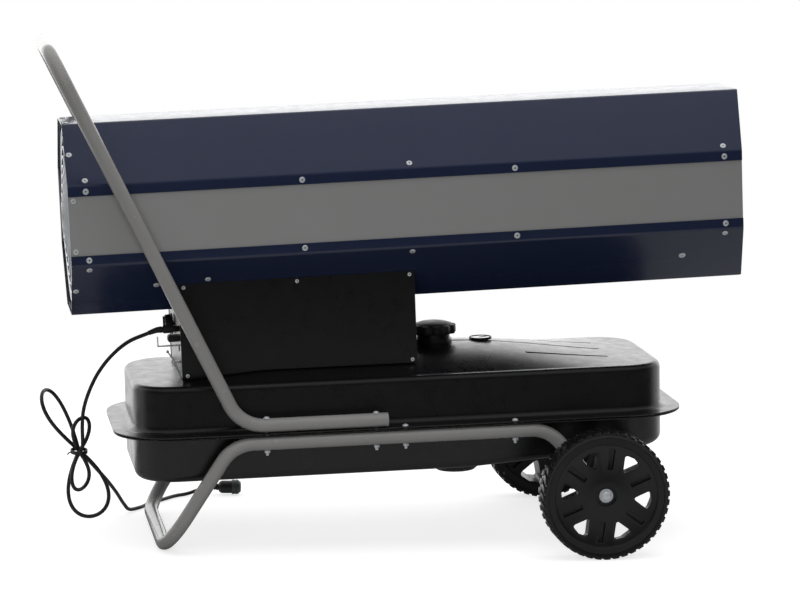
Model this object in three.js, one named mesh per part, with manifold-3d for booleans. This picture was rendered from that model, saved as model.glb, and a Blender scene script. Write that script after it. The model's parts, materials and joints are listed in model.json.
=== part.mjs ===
// A direct-fired forced air heater: an octagonal barrel on a fuel tank, carried by a two-wheeled
// tubular trolley, with its mains cord tied in a hanging bundle. Millimetres, +Z up.
//
// Frames: the part's +X runs to the hot air outlet and -Y is the side with the "_right" pieces.
//   ground   x = 0 under the axle, z = 0 on the floor
//   chassis  at the axle's centre, leaning back with the trolley; holds the frame, tank and heater
//   tank     at the middle of the tank's rim plane
//   heater   at the middle of the barrel's rear end, x along the barrel
import * as THREE from "three";
import { mergeVertices } from "three/addons/utils/BufferGeometryUtils.js";
import Module from "manifold-3d";

const wasm = await Module();
wasm.setup();

// ---------- Driving dimensions ----------
const GAP = 0.3; // between pieces that touch
const SHEET = 1.5; // barrel and cover sheet
const DEG = Math.PI / 180;

// Trolley
const TUBE_R = 11.25;
const RAIL_Y = 175.3;
const TUBE_SIDES = 10;
const BEND_R = 60;
const LEAN = 2.033 * DEG;
const FOOT_X = -692.5;
const FOOT_FLAT = 0.8;
const LEG_TOP_X = -580.6;
const RAIL_FRONT_X = -74.5;
const AXLE_TAIL = 16;
const HANDLE_FRONT_X = -333.7;
const HANDLE_BEND_X = -568.4;
const HANDLE_TOP_X = -845.4;
const HANDLE_TOP_Z = 720.4;
const HANDLE_MOUTH = 30;
const TUBE_WALL = 1.5;

// Wheels and axle
const WHEEL_R = 102.5;
const WHEEL_W = 45;
const WHEEL_Y = 243.9;
const RIM_R = 93.7;
const RIM_LIP = 12;
const RIM_SIDES = 32;
const WEB_T = 14;
const HUB_R = 27;
const HUB_RECESS_R = 16;
const HUB_RECESS = 7;
const TREAD_DEPTH = 3.5;
const TREAD_LUGS = 44;
const SPOKES = 6;
const HOLE_APEX_R = 45;
const HOLE_OUTER_R = 71;
const HOLE_SPREAD = 11.5 * DEG;
const HOLE_PHASE = 51.5 * DEG;
const SLOT_R = [44, 76];
const SLOT_W = 6;
const SLOT_DEPTH = 3;
const AXLE_R = 7;
const NUT_R = 10.5;
const NUT_T = 9;
const COLLAR_R = 11;

// Tank
const TANK_X = -301.8;
const RIM_Z = 110;
const TANK_HALF_X = 429.7;
const TANK_HALF_Y = 154;
const TANK_CORNER = 68;
const TANK_TOP = 77.5;
const TANK_BOTTOM = 76.7;
const RAMP_X = 100; // in front of the drain the floor rises towards the front
const RAMP = 0.0635;
const TANK_SHEET = 2.5;
const FLANGE_W = 31.5;
const FLARE_R = 11;
const SHOULDER_R = 10;
const HUMP_H = 30;
const HUMP_X = [-380, -200, 95, 428];
const HUMP_HALF_Y = 142;
const NECK = { x: 72, y: 0, r: 27, wall: 3, top: 129 };
const CAP_R = 37.5;
const CAP_BASE = 121.7;
const CAP_H = 15;
const CAP_DOME = 4.7;
const CAP_LOBES = 12;
const GAUGE = { x: 152, y: 10, r: 18.5, top: 110, stem: 9 };
const DRAIN = { x: 94.8, y: -60, neckR: 24, neckH: 7, r: 39, h: 10 };
const PIPE_R = 4;
const PIPE_U = 335;
const PIPE_TOP = 128;

// Bolts through rail, rim and handle
const BOLT_R = 4;
const BOLT_HEAD_R = 7;
const BOLT_HEAD = 4;
const HANDLE_BOLTS_X = [-527.2, -352.7];
const RIM_BOLTS_X = [-305.8, -128.9];

// Barrel, in the heater's frame
const HEATER_X = -824.2;
const HEATER_Z = 448.45;
const HEATER_TILT = 0.977 * DEG;
const BARREL_L = 1077.3;
const NOSE = 17.4;
const BARREL_HALF = 152.5;
const BAND_HALF = 46.7;
const BAND_TUCK = 13.3;
const MOUTH = [180, 535]; // opening in the barrel's underside, over the box
const MOUTH_HALF_Y = 50;

// Fan end
const SHROUD_X = [2, 21.5];
const SHROUD_BORE = BARREL_HALF - 16.5;
const SHROUD_LIP = 23.5;
const GUARD_RINGS = [110, 80, 50];
const GUARD_OUTER = SHROUD_BORE + 4;
const GUARD_X = 6;
const GUARD_BULGE = 10;
const GUARD_WIRE = 1.25;
const GUARD_SPOKES = 6;
const FAN_X = [50, 82];
const FAN_R = SHROUD_BORE - 6;
const FAN_HUB_R = 32;
const FAN_BLADES = 5;
const BLADE_PITCH = 30 * DEG;
const SHAFT_R = 7;
const SHAFT_X = [48, 226];
const MOTOR_X = [100, 215];
const MOTOR_R = 62;
const COUPLING_R = 14;
const PUMP_X = [227, 272];
const PUMP_HALF = 27;

// Burner and chamber
const BURNER_X = [285, 350];
const BURNER_R = 48;
const CHAMBER_X = [330, BARREL_L - 32.3];
const CHAMBER_R = 104;
const CAN_SIDES = 28;
const CONE_X = CHAMBER_X[1] - 45;
const CONE_R = 82;
const SHIELD_X = [345, BARREL_L - 17.3];
const SHIELD_R = BARREL_HALF - 24.5;
const SPIDER_X = [SHIELD_X[1] - 10, SHIELD_X[1] + 10];
const BAFFLE_X = CHAMBER_X[1] - 15;
const BAFFLE_R = 55;

// Control box under the barrel
const BOX_X = [167.5, 546];
const BOX_HALF_Y = 110;
const BOX_BOTTOM = -263;
const DECK_W = -234.6;
const PAD_X = [330, 525];
const BOARD = { u: [430, 520], half: 45, lift: 12 };
const TRANSFORMER = { u: [360, 415], half: 44, h: 58 };

// Rear fittings on the box
const GLAND = { y: -72, w: -182.7, r: 6.6, nut: 11, baseR: 4.8, base: 15.5 };
const HOOK = { y: -62, w: -207.5, out: 33, up: 15, t: 1.6, wide: 8 };
const SWITCH = { y: -66, w: -198.5, half: 5, halfY: 9, out: 17 };
const KNOB = { y: 30, w: -190, r: 17, h: 14, shaft: 3 };
const SENSOR = { y: -60, r: 1.3, ball: 2.6 };

// Cord
const CORD_R = 3.1;
const CORD_SIDES = 8;
const CORD_LIE = CORD_R + GAP; // height of its middle where it lies on the floor
const TIE_T = 1.6;
const TIE_H = 6;

// ---------- Solids ----------
const V2 = (x, y) => new THREE.Vector2(x, y);
const V3 = (x, y, z) => new THREE.Vector3(x, y, z);

function toSolid(geometry) {
  const g = geometry.clone();
  g.deleteAttribute("normal");
  g.deleteAttribute("uv");
  const merged = mergeVertices(g, 1e-3);
  const index = merged.index.array;
  const position = merged.attributes.position;
  const kept = [];
  for (let i = 0; i < index.length; i += 3) {
    const [a, b, c] = [index[i], index[i + 1], index[i + 2]];
    if (a !== b && b !== c && c !== a) kept.push(a, b, c);
  }
  let volume = 0;
  for (let i = 0; i < kept.length; i += 3) {
    const [a, b, c] = [0, 1, 2].map((k) => V3().fromBufferAttribute(position, kept[i + k]));
    volume += a.dot(b.cross(c));
  }
  if (volume < 0) kept.reverse();
  const mesh = new wasm.Mesh({
    numProp: 3,
    vertProperties: new Float32Array(position.array),
    triVerts: new Uint32Array(kept),
  });
  return new wasm.Manifold(mesh);
}

function toGeometry(solid) {
  const mesh = solid.getMesh();
  const positions = new Float32Array(mesh.numVert * 3);
  for (let i = 0; i < mesh.numVert; i++)
    positions.set(mesh.vertProperties.subarray(i * mesh.numProp, i * mesh.numProp + 3), i * 3);
  const g = new THREE.BufferGeometry();
  g.setAttribute("position", new THREE.BufferAttribute(positions, 3));
  g.setIndex(new THREE.BufferAttribute(new Uint32Array(mesh.triVerts), 1));
  g.computeVertexNormals();
  return g;
}

const asSolid = (shape) => (shape.isBufferGeometry ? toSolid(shape) : shape);
const join = (...shapes) => shapes.map(asSolid).reduce((a, b) => a.add(b));
const cut = (body, ...tools) => tools.map(asSolid).reduce((a, b) => a.subtract(b), asSolid(body));
const common = (a, b) => asSolid(a).intersect(asSolid(b));

// Shapes are drawn flat and pushed along one axis: alongX takes (y, z) outlines, alongY (x, z), alongZ
// (x, y).
function pushed(points, from, to, xAxis, yAxis, pushAxis) {
  const shape = points instanceof THREE.Shape ? points : new THREE.Shape(points);
  const g = new THREE.ExtrudeGeometry(shape, { depth: to - from, bevelEnabled: false, curveSegments: 4 });
  g.translate(0, 0, from);
  return g.applyMatrix4(new THREE.Matrix4().makeBasis(xAxis, yAxis, pushAxis));
}
const alongX = (p, from, to) => pushed(p, from, to, V3(0, 1, 0), V3(0, 0, 1), V3(1, 0, 0));
const alongY = (p, from, to) => pushed(p, from, to, V3(1, 0, 0), V3(0, 0, 1), V3(0, 1, 0));
const alongZ = (p, from, to) => pushed(p, from, to, V3(1, 0, 0), V3(0, 1, 0), V3(0, 0, 1));

const box = (x0, x1, y0, y1, z0, z1) =>
  new THREE.BoxGeometry(x1 - x0, y1 - y0, z1 - z0).translate((x0 + x1) / 2, (y0 + y1) / 2, (z0 + z1) / 2);

// Turned pieces: the profile lists [radius, distance along the axis].
function turned(profile, axis, sides = 24) {
  const g = new THREE.LatheGeometry(
    profile.map(([r, h]) => V2(r, h)),
    sides,
  );
  if (axis === "x") g.rotateZ(-Math.PI / 2);
  if (axis === "z") g.rotateX(Math.PI / 2);
  return g;
}
const rod = (r, from, to, axis, sides) =>
  turned(
    [
      [0, from],
      [r, from],
      [r, to],
      [0, to],
    ],
    axis,
    sides,
  );
const ring = (inner, outer, from, to, axis, sides) =>
  turned(
    [
      [inner, from],
      [outer, from],
      [outer, to],
      [inner, to],
      [inner, from],
    ],
    axis,
    sides,
  );

const polygon = (r, n, phase = 0) =>
  Array.from({ length: n }, (_, i) => V2(r * Math.cos(phase + (i * 2 * Math.PI) / n),
    r * Math.sin(phase + (i * 2 * Math.PI) / n)));

// A curve through stations, one ring of a swept section on each.
class Stations extends THREE.Curve {
  constructor(points) {
    super();
    this.points = points;
  }
  getPoint(t) {
    const f = Math.min(Math.max(t, 0), 1) * (this.points.length - 1);
    const i = Math.min(Math.floor(f), this.points.length - 2);
    return V3().lerpVectors(this.points[i], this.points[i + 1], f - i);
  }
  getPointAt(u) {
    return this.getPoint(u);
  }
  getTangentAt(u) {
    const last = this.points.length - 1;
    const i = Math.round(u * last);
    const way = V3();
    if (i > 0) way.add(V3().subVectors(this.points[i], this.points[i - 1]).normalize());
    if (i < last) way.add(V3().subVectors(this.points[i + 1], this.points[i]).normalize());
    return way.normalize();
  }
}

const sweep = (points, radius, sides) =>
  new THREE.ExtrudeGeometry(new THREE.Shape(polygon(radius, sides, Math.PI / sides)), {
    steps: points.length - 1,
    extrudePath: new Stations(points),
    bevelEnabled: false,
  });

// The centre line of a bent tube: straight between its corners, with an arc of the bend radius at each.
function bent(corners, radius, steps = 5) {
  const line = [corners[0]];
  for (let i = 1; i < corners.length - 1; i++) {
    const before = V3().subVectors(corners[i - 1], corners[i]).normalize();
    const after = V3().subVectors(corners[i + 1], corners[i]).normalize();
    const half = before.angleTo(after) / 2;
    const reach = radius / Math.tan(half);
    const centre = V3()
      .addVectors(before, after)
      .setLength(radius / Math.sin(half))
      .add(corners[i]);
    const start = V3().copy(before).multiplyScalar(reach).add(corners[i]).sub(centre);
    const end = V3().copy(after).multiplyScalar(reach).add(corners[i]).sub(centre);
    const axis = V3().crossVectors(start, end).normalize();
    const sweepAngle = Math.PI - 2 * half;
    for (let k = 0; k <= steps; k++)
      line.push(V3().copy(start).applyAxisAngle(axis, (sweepAngle * k) / steps).add(centre));
  }
  line.push(corners[corners.length - 1]);
  return line;
}

// ---------- Scene helpers ----------
const root = new THREE.Group();
const ground = new THREE.Group();
const chassis = new THREE.Group();
const tank = new THREE.Group();
const heater = new THREE.Group();
root.add(ground);
ground.add(chassis);
chassis.position.z = WHEEL_R;
chassis.rotation.y = -LEAN;
tank.position.set(TANK_X, 0, RIM_Z);
heater.position.set(HEATER_X, 0, HEATER_Z);
heater.rotation.y = -HEATER_TILT;
chassis.add(tank, heater);

const looks = {
  navy: [0x1b2250, 0.35, 0.3],
  grey: [0x9a9894, 0.4, 0.3],
  black: [0x161617, 0.45, 0.1],
  frame: [0xa9a7a2, 0.4, 0.3],
  plastic: [0x17181a, 0.6, 0],
  rubber: [0x141414, 0.85, 0],
  steel: [0xb8bab8, 0.35, 0.8],
  copper: [0xa86b42, 0.35, 0.9],
  brass: [0xb08d4c, 0.35, 0.9],
  ceramic: [0xe8e4da, 0.3, 0],
  board: [0x2f5d3a, 0.6, 0],
};

function piece(name, shape, look, parent) {
  const [color, roughness, metalness] = looks[look];
  const geometry = toGeometry(asSolid(shape));
  const mesh = new THREE.Mesh(geometry, new THREE.MeshStandardMaterial({ color, roughness, metalness }));
  mesh.name = name;
  parent.add(mesh);
  return mesh;
}

// ---------- Barrel ----------
const octCrease = (half) => half * Math.tan(Math.PI / 8);
function octagon(half) {
  const c = octCrease(half);
  return [V2(half, -c), V2(half, c), V2(c, half), V2(-c, half), V2(-half, c), V2(-half, -c), V2(-c,
    -half), V2(c, -half)];
}

function shellOutline(side) {
  const inner = BARREL_HALF - SHEET;
  const outline = (half) => {
    const c = octCrease(half);
    return [V2(half, BAND_HALF), V2(half, c), V2(c, half), V2(-c, half), V2(-half, c), V2(-half, BAND_HALF)];
  };
  const points = [...outline(BARREL_HALF), ...outline(inner).reverse()];
  return points.map((p) => V2(p.x, p.y * side));
}

// The front edge of each slanted facet runs forward, so the top and bottom facets end further out.
function noseOutline() {
  const c = octCrease(BARREL_HALF);
  const side = BARREL_HALF + 1;
  return [V2(0, -side), V2(BARREL_L, -side), V2(BARREL_L, -BARREL_HALF), V2(BARREL_L + NOSE, -c),
    V2(BARREL_L + NOSE, c),
    V2(BARREL_L, BARREL_HALF), V2(BARREL_L, side), V2(0, side)];
}

function shell(side) {
  const sheet = alongX(shellOutline(side), 0, BARREL_L + NOSE);
  const trimmed = common(sheet, alongZ(noseOutline(), -BARREL_HALF - 1, BARREL_HALF + 1));
  if (side > 0) return trimmed;
  return cut(trimmed, box(MOUTH[0], MOUTH[1], -MOUTH_HALF_Y, MOUTH_HALF_Y, -BARREL_HALF - 2,
    -BARREL_HALF + 2));
}

function makeBarrel() {
  piece("upper_shell", shell(1), "navy", heater);
  piece("lower_shell", shell(-1), "navy", heater);
  const outer = BARREL_HALF - SHEET - GAP;
  const inner = outer - SHEET + GAP;
  const half = BAND_HALF + BAND_TUCK;
  piece("side_panel_right", box(0, BARREL_L, -outer, -inner, -half, half), "grey", heater);
  piece("side_panel_left", box(0, BARREL_L, inner, outer, -half, half), "grey", heater);
}
const LINER = BARREL_HALF - 2 * SHEET - GAP; // half across flats left free inside the side panels

// ---------- Fan end ----------
function makeFanEnd() {
  const [x0, x1] = SHROUD_X;
  const band = cut(alongX(octagon(LINER), x0, x1), alongX(octagon(LINER - SHEET), x0 - 1, x1 - SHEET));
  const lip = ring(SHROUD_BORE, SHROUD_BORE + SHEET, x1 - SHEET, x1 + SHROUD_LIP, "x", 32);
  const bore = rod(SHROUD_BORE, x0 - 1, x1 + SHROUD_LIP + 1, "x", 32);
  piece("fan_shroud", cut(join(band, lip), bore), "steel", heater);

  const sides = 18;
  const guardX = (r) => GUARD_X - GUARD_BULGE * (1 - r / GUARD_OUTER);
  const rings = [...GUARD_RINGS, GUARD_OUTER].map((r) => {
    const loop = new THREE.TorusGeometry(r, r === GUARD_OUTER ? GUARD_WIRE * 1.5 : GUARD_WIRE, 4, sides);
    return loop.rotateY(Math.PI / 2).translate(guardX(r), 0, 0);
  });
  const wires = Array.from({ length: GUARD_SPOKES }, (_, i) => {
    const a = (i + 0.5) * ((2 * Math.PI) / GUARD_SPOKES);
    const at = (r) => V3(guardX(r), r * Math.cos(a), r * Math.sin(a));
    return sweep([at(12), at(GUARD_OUTER)], GUARD_WIRE * 1.2, 4);
  });
  const hub = rod(20, guardX(0) - 1, guardX(0) + 2.5, "x", 16);
  const tabs = [0, 1, 2, 3].map((i) => {
    const reach = LINER - SHEET - GAP;
    return box(GUARD_X - 1.5, GUARD_X + 1.5, GUARD_OUTER - 2, reach, -9,
      9).rotateX((i + 0.5) * (Math.PI / 2));
  });
  piece("fan_guard", join(...rings, ...wires, hub, ...tabs), "black", heater);

  const [f0, f1] = FAN_X;
  const fanHub = cut(rod(FAN_HUB_R, f0, f1, "x", 24), rod(SHAFT_R + GAP, f0 - 1, f1 + 1, "x", 16));
  const blades = Array.from({ length: FAN_BLADES }, (_, i) => {
    const root0 = FAN_HUB_R - 4;
    const outline = new THREE.Shape();
    outline.moveTo(-16, root0);
    outline.quadraticCurveTo(-40, FAN_R * 0.7, -38, FAN_R - 14);
    outline.quadraticCurveTo(-20, FAN_R, 10, FAN_R - 2);
    outline.quadraticCurveTo(34, FAN_R - 14, 30, FAN_R * 0.7);
    outline.quadraticCurveTo(20, FAN_R * 0.4, 16, root0);
    const g = alongX(outline, -0.9, 0.9).rotateZ(BLADE_PITCH);
    return g.translate((f0 + f1) / 2, 0, 0).rotateX((i * 2 * Math.PI) / FAN_BLADES);
  });
  const limit = rod(FAN_R, f0 - 30, f1 + 30, "x", 32);
  piece("fan_blade", common(join(fanHub, ...blades), cut(limit, rod(SHAFT_R + GAP, f0 - 31, f1 + 31, "x",
    16))), "steel", heater);

  const coupling = rod(COUPLING_R, MOTOR_X[1] + 2, SHAFT_X[1], "x", 16);
  const shaft = join(rod(SHAFT_R, SHAFT_X[0], SHAFT_X[1], "x", 16), coupling);
  piece("motor_shaft", shaft, "steel", heater);

  const motorProfile = [
    [0, MOTOR_X[0]],
    [30, MOTOR_X[0]],
    [MOTOR_R - 6, MOTOR_X[0] + 8],
    [MOTOR_R, MOTOR_X[0] + 16],
    [MOTOR_R, MOTOR_X[1] - 16],
    [MOTOR_R - 6, MOTOR_X[1] - 8],
    [30, MOTOR_X[1]],
    [0, MOTOR_X[1]],
  ];
  const motorBore = rod(SHAFT_R + GAP + 0.3, MOTOR_X[0] - 1, MOTOR_X[1] + 1, "x", 16);
  piece("motor", cut(turned(motorProfile, "x", 28), motorBore), "grey", heater);

  const baseTop = -BARREL_HALF + SHEET + GAP + 3;
  const webAt = (x) => alongX([V2(-46, baseTop - 2), V2(46, baseTop - 2), V2(40, -30), V2(-40, -30)], x,
    x + 3);
  const cradle = join(
    box(MOTOR_X[0] + 10, MOTOR_X[1] - 10, -58, 58, baseTop - 3, baseTop),
    webAt(MOTOR_X[0] + 20),
    webAt(MOTOR_X[1] - 23),
  );
  const cableWay = box(MOUTH[0] + 2, MOTOR_X[1], -30, 30, baseTop - 5, baseTop + 1);
  piece("motor_bracket", cut(cradle, rod(MOTOR_R + GAP, MOTOR_X[0], MOTOR_X[1], "x", 28), cableWay),
    "steel", heater);

  const [p0, p1] = PUMP_X;
  const sleeve = ring(COUPLING_R + 3, 30, MOTOR_X[1] + GAP, p0 + 2, "x", 20);
  const port = rod(5, -PUMP_HALF - 6, -PUMP_HALF + 2, "z", 12).translate((p0 + p1) / 2, 0, 0);
  const outletPort = rod(4, p1 - 2, BURNER_X[0] - GAP, "x", 12);
  const pump = join(box(p0, p1, -PUMP_HALF, PUMP_HALF, -PUMP_HALF, PUMP_HALF), sleeve, port, outletPort);
  piece("fuel_pump", pump, "steel", heater);
}

// ---------- Burner and combustion chamber ----------
function makeBurner() {
  const [b0, b1] = BURNER_X;
  const flange = BURNER_R + 12;
  const wall = 2;
  const head = cut(
    join(rod(BURNER_R, b0, b1, "x", 20), ring(BURNER_R - 1, flange, CHAMBER_X[0] - 3.5,
      CHAMBER_X[0] - GAP, "x", 20)),
    rod(BURNER_R - wall, b0 + wall, b1 + 1, "x", 20),
    rod(6 + 2 * GAP, b0 - 1, b0 + wall + 1, "x", 12),
    rod(4 + 2 * GAP, b0 - 1, b0 + wall + 1, "x", 8).translate(0, 22, 10),
    rod(4 + 2 * GAP, b0 - 1, b0 + wall + 1, "x", 8).translate(0, -22, 10),
  );
  piece("burner_head", head, "steel", heater);
  const nozzle = turned(
    [
      [0, b0 + GAP],
      [6, b0 + GAP],
      [6, b0 + 30],
      [9, b0 + 30],
      [9, b0 + 42],
      [3, b0 + 50],
      [0, b0 + 50],
    ],
    "x",
    12,
  );
  piece("nozzle", nozzle, "brass", heater);
  const electrode = (y) =>
    join(
      rod(4, b0 - 12, b0 + 40, "x", 8).translate(0, y, 10),
      sweep([V3(b0 + 36, y, 10), V3(b0 + 52, y, 10), V3(b0 + 60, y * 0.5, 5)], 1.2, 6),
    );
  piece("ignition_electrode", electrode(22), "ceramic", heater);
  piece("flame_sensor", electrode(-22), "ceramic", heater);

  const [c0, c1] = CHAMBER_X;
  const can = turned(
    [
      [BURNER_R + 1, c0],
      [CHAMBER_R, c0],
      [CHAMBER_R, CONE_X],
      [CONE_R, c1],
      [CONE_R - SHEET, c1],
      [CHAMBER_R - SHEET, CONE_X],
      [CHAMBER_R - SHEET, c0 + SHEET],
      [BURNER_R + 1, c0 + SHEET],
      [BURNER_R + 1, c0],
    ],
    "x",
    CAN_SIDES,
  );
  piece("combustion_chamber", can, "steel", heater);

  const [s0, s1] = SHIELD_X;
  const shieldWall = 1.2;
  const tube = ring(SHIELD_R - shieldWall, SHIELD_R, s0, s1, "x", CAN_SIDES);
  const spacerAngles = [0, 1, 2, 3].map((k) => (k + 0.5) * (Math.PI / 2));
  const spacers = spacerAngles.flatMap((a) =>
    [s0 + 20, s1 - 120].map((x) => {
      const inner = (CHAMBER_R + GAP) / Math.cos(Math.PI / CAN_SIDES) ;
      return box(x, x + 12, inner, SHIELD_R - shieldWall / 2, -3, 3).rotateX(a);
    }),
  );
  const legs = spacerAngles.flatMap((a) =>
    [s0 + 40, s1 - 60].map((x) => box(x, x + 12, SHIELD_R - shieldWall, BARREL_HALF - SHEET - GAP, -3,
      3).rotateX(a)),
  );
  piece("heat_shield", join(tube, ...spacers, ...legs), "steel", heater);

  const [o0, o1] = SPIDER_X;
  const spiderRing = ring(SHIELD_R + 2, SHIELD_R + 5, o0, o1, "x", 32);
  const rim = cut(alongX(octagon(LINER), o0, o1), alongX(octagon(LINER - SHEET), o0 - 1, o1 + 1));
  const arms = [0, 1, 2, 3].map((k) => box(o0 + 4, o0 + 7, SHIELD_R + 3, LINER - SHEET / 2, -8,
    8).rotateX((k * Math.PI) / 2));
  piece("outlet_spider", join(rim, spiderRing, ...arms), "steel", heater);

  const coneAt = (x) => CHAMBER_R + ((CONE_R - CHAMBER_R) * (x - CONE_X)) / (c1 - CONE_X);
  const armReach = (coneAt(BAFFLE_X + 10) - SHEET) * Math.cos(Math.PI / CAN_SIDES) - GAP;
  const disc = turned(
    [
      [0, BAFFLE_X],
      [BAFFLE_R, BAFFLE_X + 4],
      [BAFFLE_R, BAFFLE_X + 6],
      [0, BAFFLE_X + 2],
    ],
    "x",
    28,
  );
  const discArms = [0, 1, 2].map((k) =>
    box(BAFFLE_X + 3, BAFFLE_X + 9, BAFFLE_R - 3, armReach, -6,
      6).rotateX(Math.PI / 2 + (k * 2 * Math.PI) / 3),
  );
  piece("outlet_baffle", join(disc, ...discArms), "steel", heater);
}

// ---------- Tank ----------
const smooth = (t) => {
  const c = Math.min(Math.max(t, 0), 1);
  return c * c * (3 - 2 * c);
};
// The crown of the tank's top: an arch from side to side that fades out towards the ends.
function crown(x, y) {
  const [a, b, c, d] = HUMP_X;
  const along = smooth((x - a) / (b - a)) * (1 - smooth((x - c) / (d - c)));
  const across = Math.max(1 - (y / HUMP_HALF_Y) ** 2, 0);
  return HUMP_H * along * across;
}

// A loop round the tank at an inset from its wall: the corners are arcs, and every loop has as many points.
function tankLoop(inset, heightOf) {
  const halfX = TANK_HALF_X - inset;
  const halfY = TANK_HALF_Y - inset;
  const corner = Math.max(TANK_CORNER - inset, 4);
  const longSteps = 12;
  const shortSteps = 3;
  const arcSteps = 5;
  const points = [];
  const add = (x, y) => points.push(V3(x, y, heightOf(x, y)));
  const straight = (x0, y0, x1, y1, n) => {
    for (let i = 1; i < n; i++) add(x0 + ((x1 - x0) * i) / n, y0 + ((y1 - y0) * i) / n);
  };
  const arc = (cx, cy, from) => {
    for (let i = 0; i <= arcSteps; i++) {
      const a = from + (i * Math.PI) / 2 / arcSteps;
      add(cx + corner * Math.cos(a), cy + corner * Math.sin(a));
    }
  };
  const [ex, ey] = [halfX - corner, Math.max(halfY - corner, 0.5)];
  arc(ex, ey, 0);
  straight(ex, ey + corner, -ex, ey + corner, longSteps);
  arc(-ex, ey, Math.PI / 2);
  straight(-ex - corner, ey, -ex - corner, -ey, shortSteps);
  arc(-ex, -ey, Math.PI);
  straight(-ex, -ey - corner, ex, -ey - corner, longSteps);
  arc(ex, -ey, 1.5 * Math.PI);
  straight(ex + corner, -ey, ex + corner, ey, shortSteps);
  return points;
}

// A closed skin over a stack of loops, capped by fans at both ends of the stack.
function loft(loops) {
  const n = loops[0].length;
  const positions = [];
  const index = [];
  loops.forEach((loop) => loop.forEach((p) => positions.push(p.x, p.y, p.z)));
  for (let k = 0; k + 1 < loops.length; k++)
    for (let i = 0; i < n; i++) {
      const [a, b] = [k * n + i, k * n + ((i + 1) % n)];
      const [c, d] = [a + n, b + n];
      index.push(a, b, c, b, d, c);
    }
  const cap = (k, flip) => {
    const middle = positions.length / 3;
    const loop = loops[k];
    const mean = loop.reduce((s, p) => s.add(p), V3()).divideScalar(n);
    positions.push(mean.x, mean.y, loop.capHeight ?? mean.z);
    for (let i = 0; i < n; i++) {
      const [a, b] = [k * n + i, k * n + ((i + 1) % n)];
      index.push(...(flip ? [middle, b, a] : [middle, a, b]));
    }
  };
  cap(0, true);
  cap(loops.length - 1, false);
  const g = new THREE.BufferGeometry();
  g.setAttribute("position", new THREE.BufferAttribute(new Float32Array(positions), 3));
  g.setIndex(index);
  return g;
}

function tankUpper() {
  const seam = GAP / 2;
  const top = (x, y) => TANK_TOP + crown(x, y);
  const flare = [0, 45, 90].map((a) => [
    -FLARE_R * (1 - Math.sin(a * DEG)),
    () => seam + TANK_SHEET + FLARE_R * (1 - Math.cos(a * DEG)),
  ]);
  const shoulder = [0, 45, 90].map((a) => [
    SHOULDER_R * (1 - Math.cos(a * DEG)),
    (x, y) => TANK_TOP - SHOULDER_R * (1 - Math.sin(a * DEG)) + (a === 90 ? crown(x, y) : 0),
  ]);
  const field = [TANK_HALF_Y - HUMP_HALF_Y, 30, 55, 85, 120, 153].map((inset) => [inset, top]);
  const outerLevels = [[-FLANGE_W, () => seam + TANK_SHEET], ...flare, ...shoulder, ...field];
  const outer = outerLevels.map(([inset, h]) => tankLoop(inset, h));
  const innerLevels = [
    [TANK_SHEET, () => seam],
    [TANK_SHEET, () => TANK_TOP - SHOULDER_R],
    [SHOULDER_R + TANK_SHEET, () => TANK_TOP - TANK_SHEET],
    ...field.slice(1).map(([inset, h]) => [inset, (x, y) => h(x, y) - TANK_SHEET]),
  ];
  const inner = innerLevels.map(([inset, h]) => tankLoop(inset, h)).reverse();
  const rimUnder = tankLoop(-FLANGE_W, () => seam);
  // The stack runs from the crown's middle inside, down the inner wall, out under the rim and back up
  // outside.
  return loft([...inner, rimUnder, ...outer]);
}

function tankLower() {
  const seam = GAP / 2;
  const floorAt = (x) => -TANK_BOTTOM + Math.max(x - RAMP_X, 0) * RAMP;
  const flare = [0, 45, 90].map((a) => [
    -FLARE_R * 0.5 * (1 - Math.sin(a * DEG)),
    () => -seam - TANK_SHEET - FLARE_R * 0.5 * (1 - Math.cos(a * DEG)),
  ]);
  const edge = 15;
  const turn = [0, 45, 90].map((a) => [
    edge * (1 - Math.cos(a * DEG)),
    (x) => floorAt(x) + edge * (1 - Math.sin(a * DEG)),
  ]);
  const floor = [[153, floorAt]];
  const outer = [[-FLANGE_W, () => -seam - TANK_SHEET], ...flare, ...turn, ...floor].map(([i,
    h]) => tankLoop(i, h));
  const inner = [
    [TANK_SHEET, () => -seam],
    [TANK_SHEET, (x) => floorAt(x) + edge],
    [edge * 0.3 + TANK_SHEET, (x) => floorAt(x) + edge * 0.3 + TANK_SHEET],
    [edge + TANK_SHEET, (x) => floorAt(x) + TANK_SHEET],
    [153, (x) => floorAt(x) + TANK_SHEET],
  ].map(([i, h]) => tankLoop(i, h));
  const rimTop = tankLoop(-FLANGE_W, () => -seam);
  return loft([...inner.reverse(), rimTop, ...outer]);
}

// Height in the heater's frame of the crown's crest, at a distance along the barrel.
const crownW = (u) =>
  (RIM_Z + TANK_TOP + HUMP_H - HEATER_Z) / Math.cos(HEATER_TILT) - u * Math.tan(HEATER_TILT);
const pipeX = () => HEATER_X - TANK_X + PIPE_U * Math.cos(HEATER_TILT) + 230 * Math.sin(HEATER_TILT);

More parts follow.
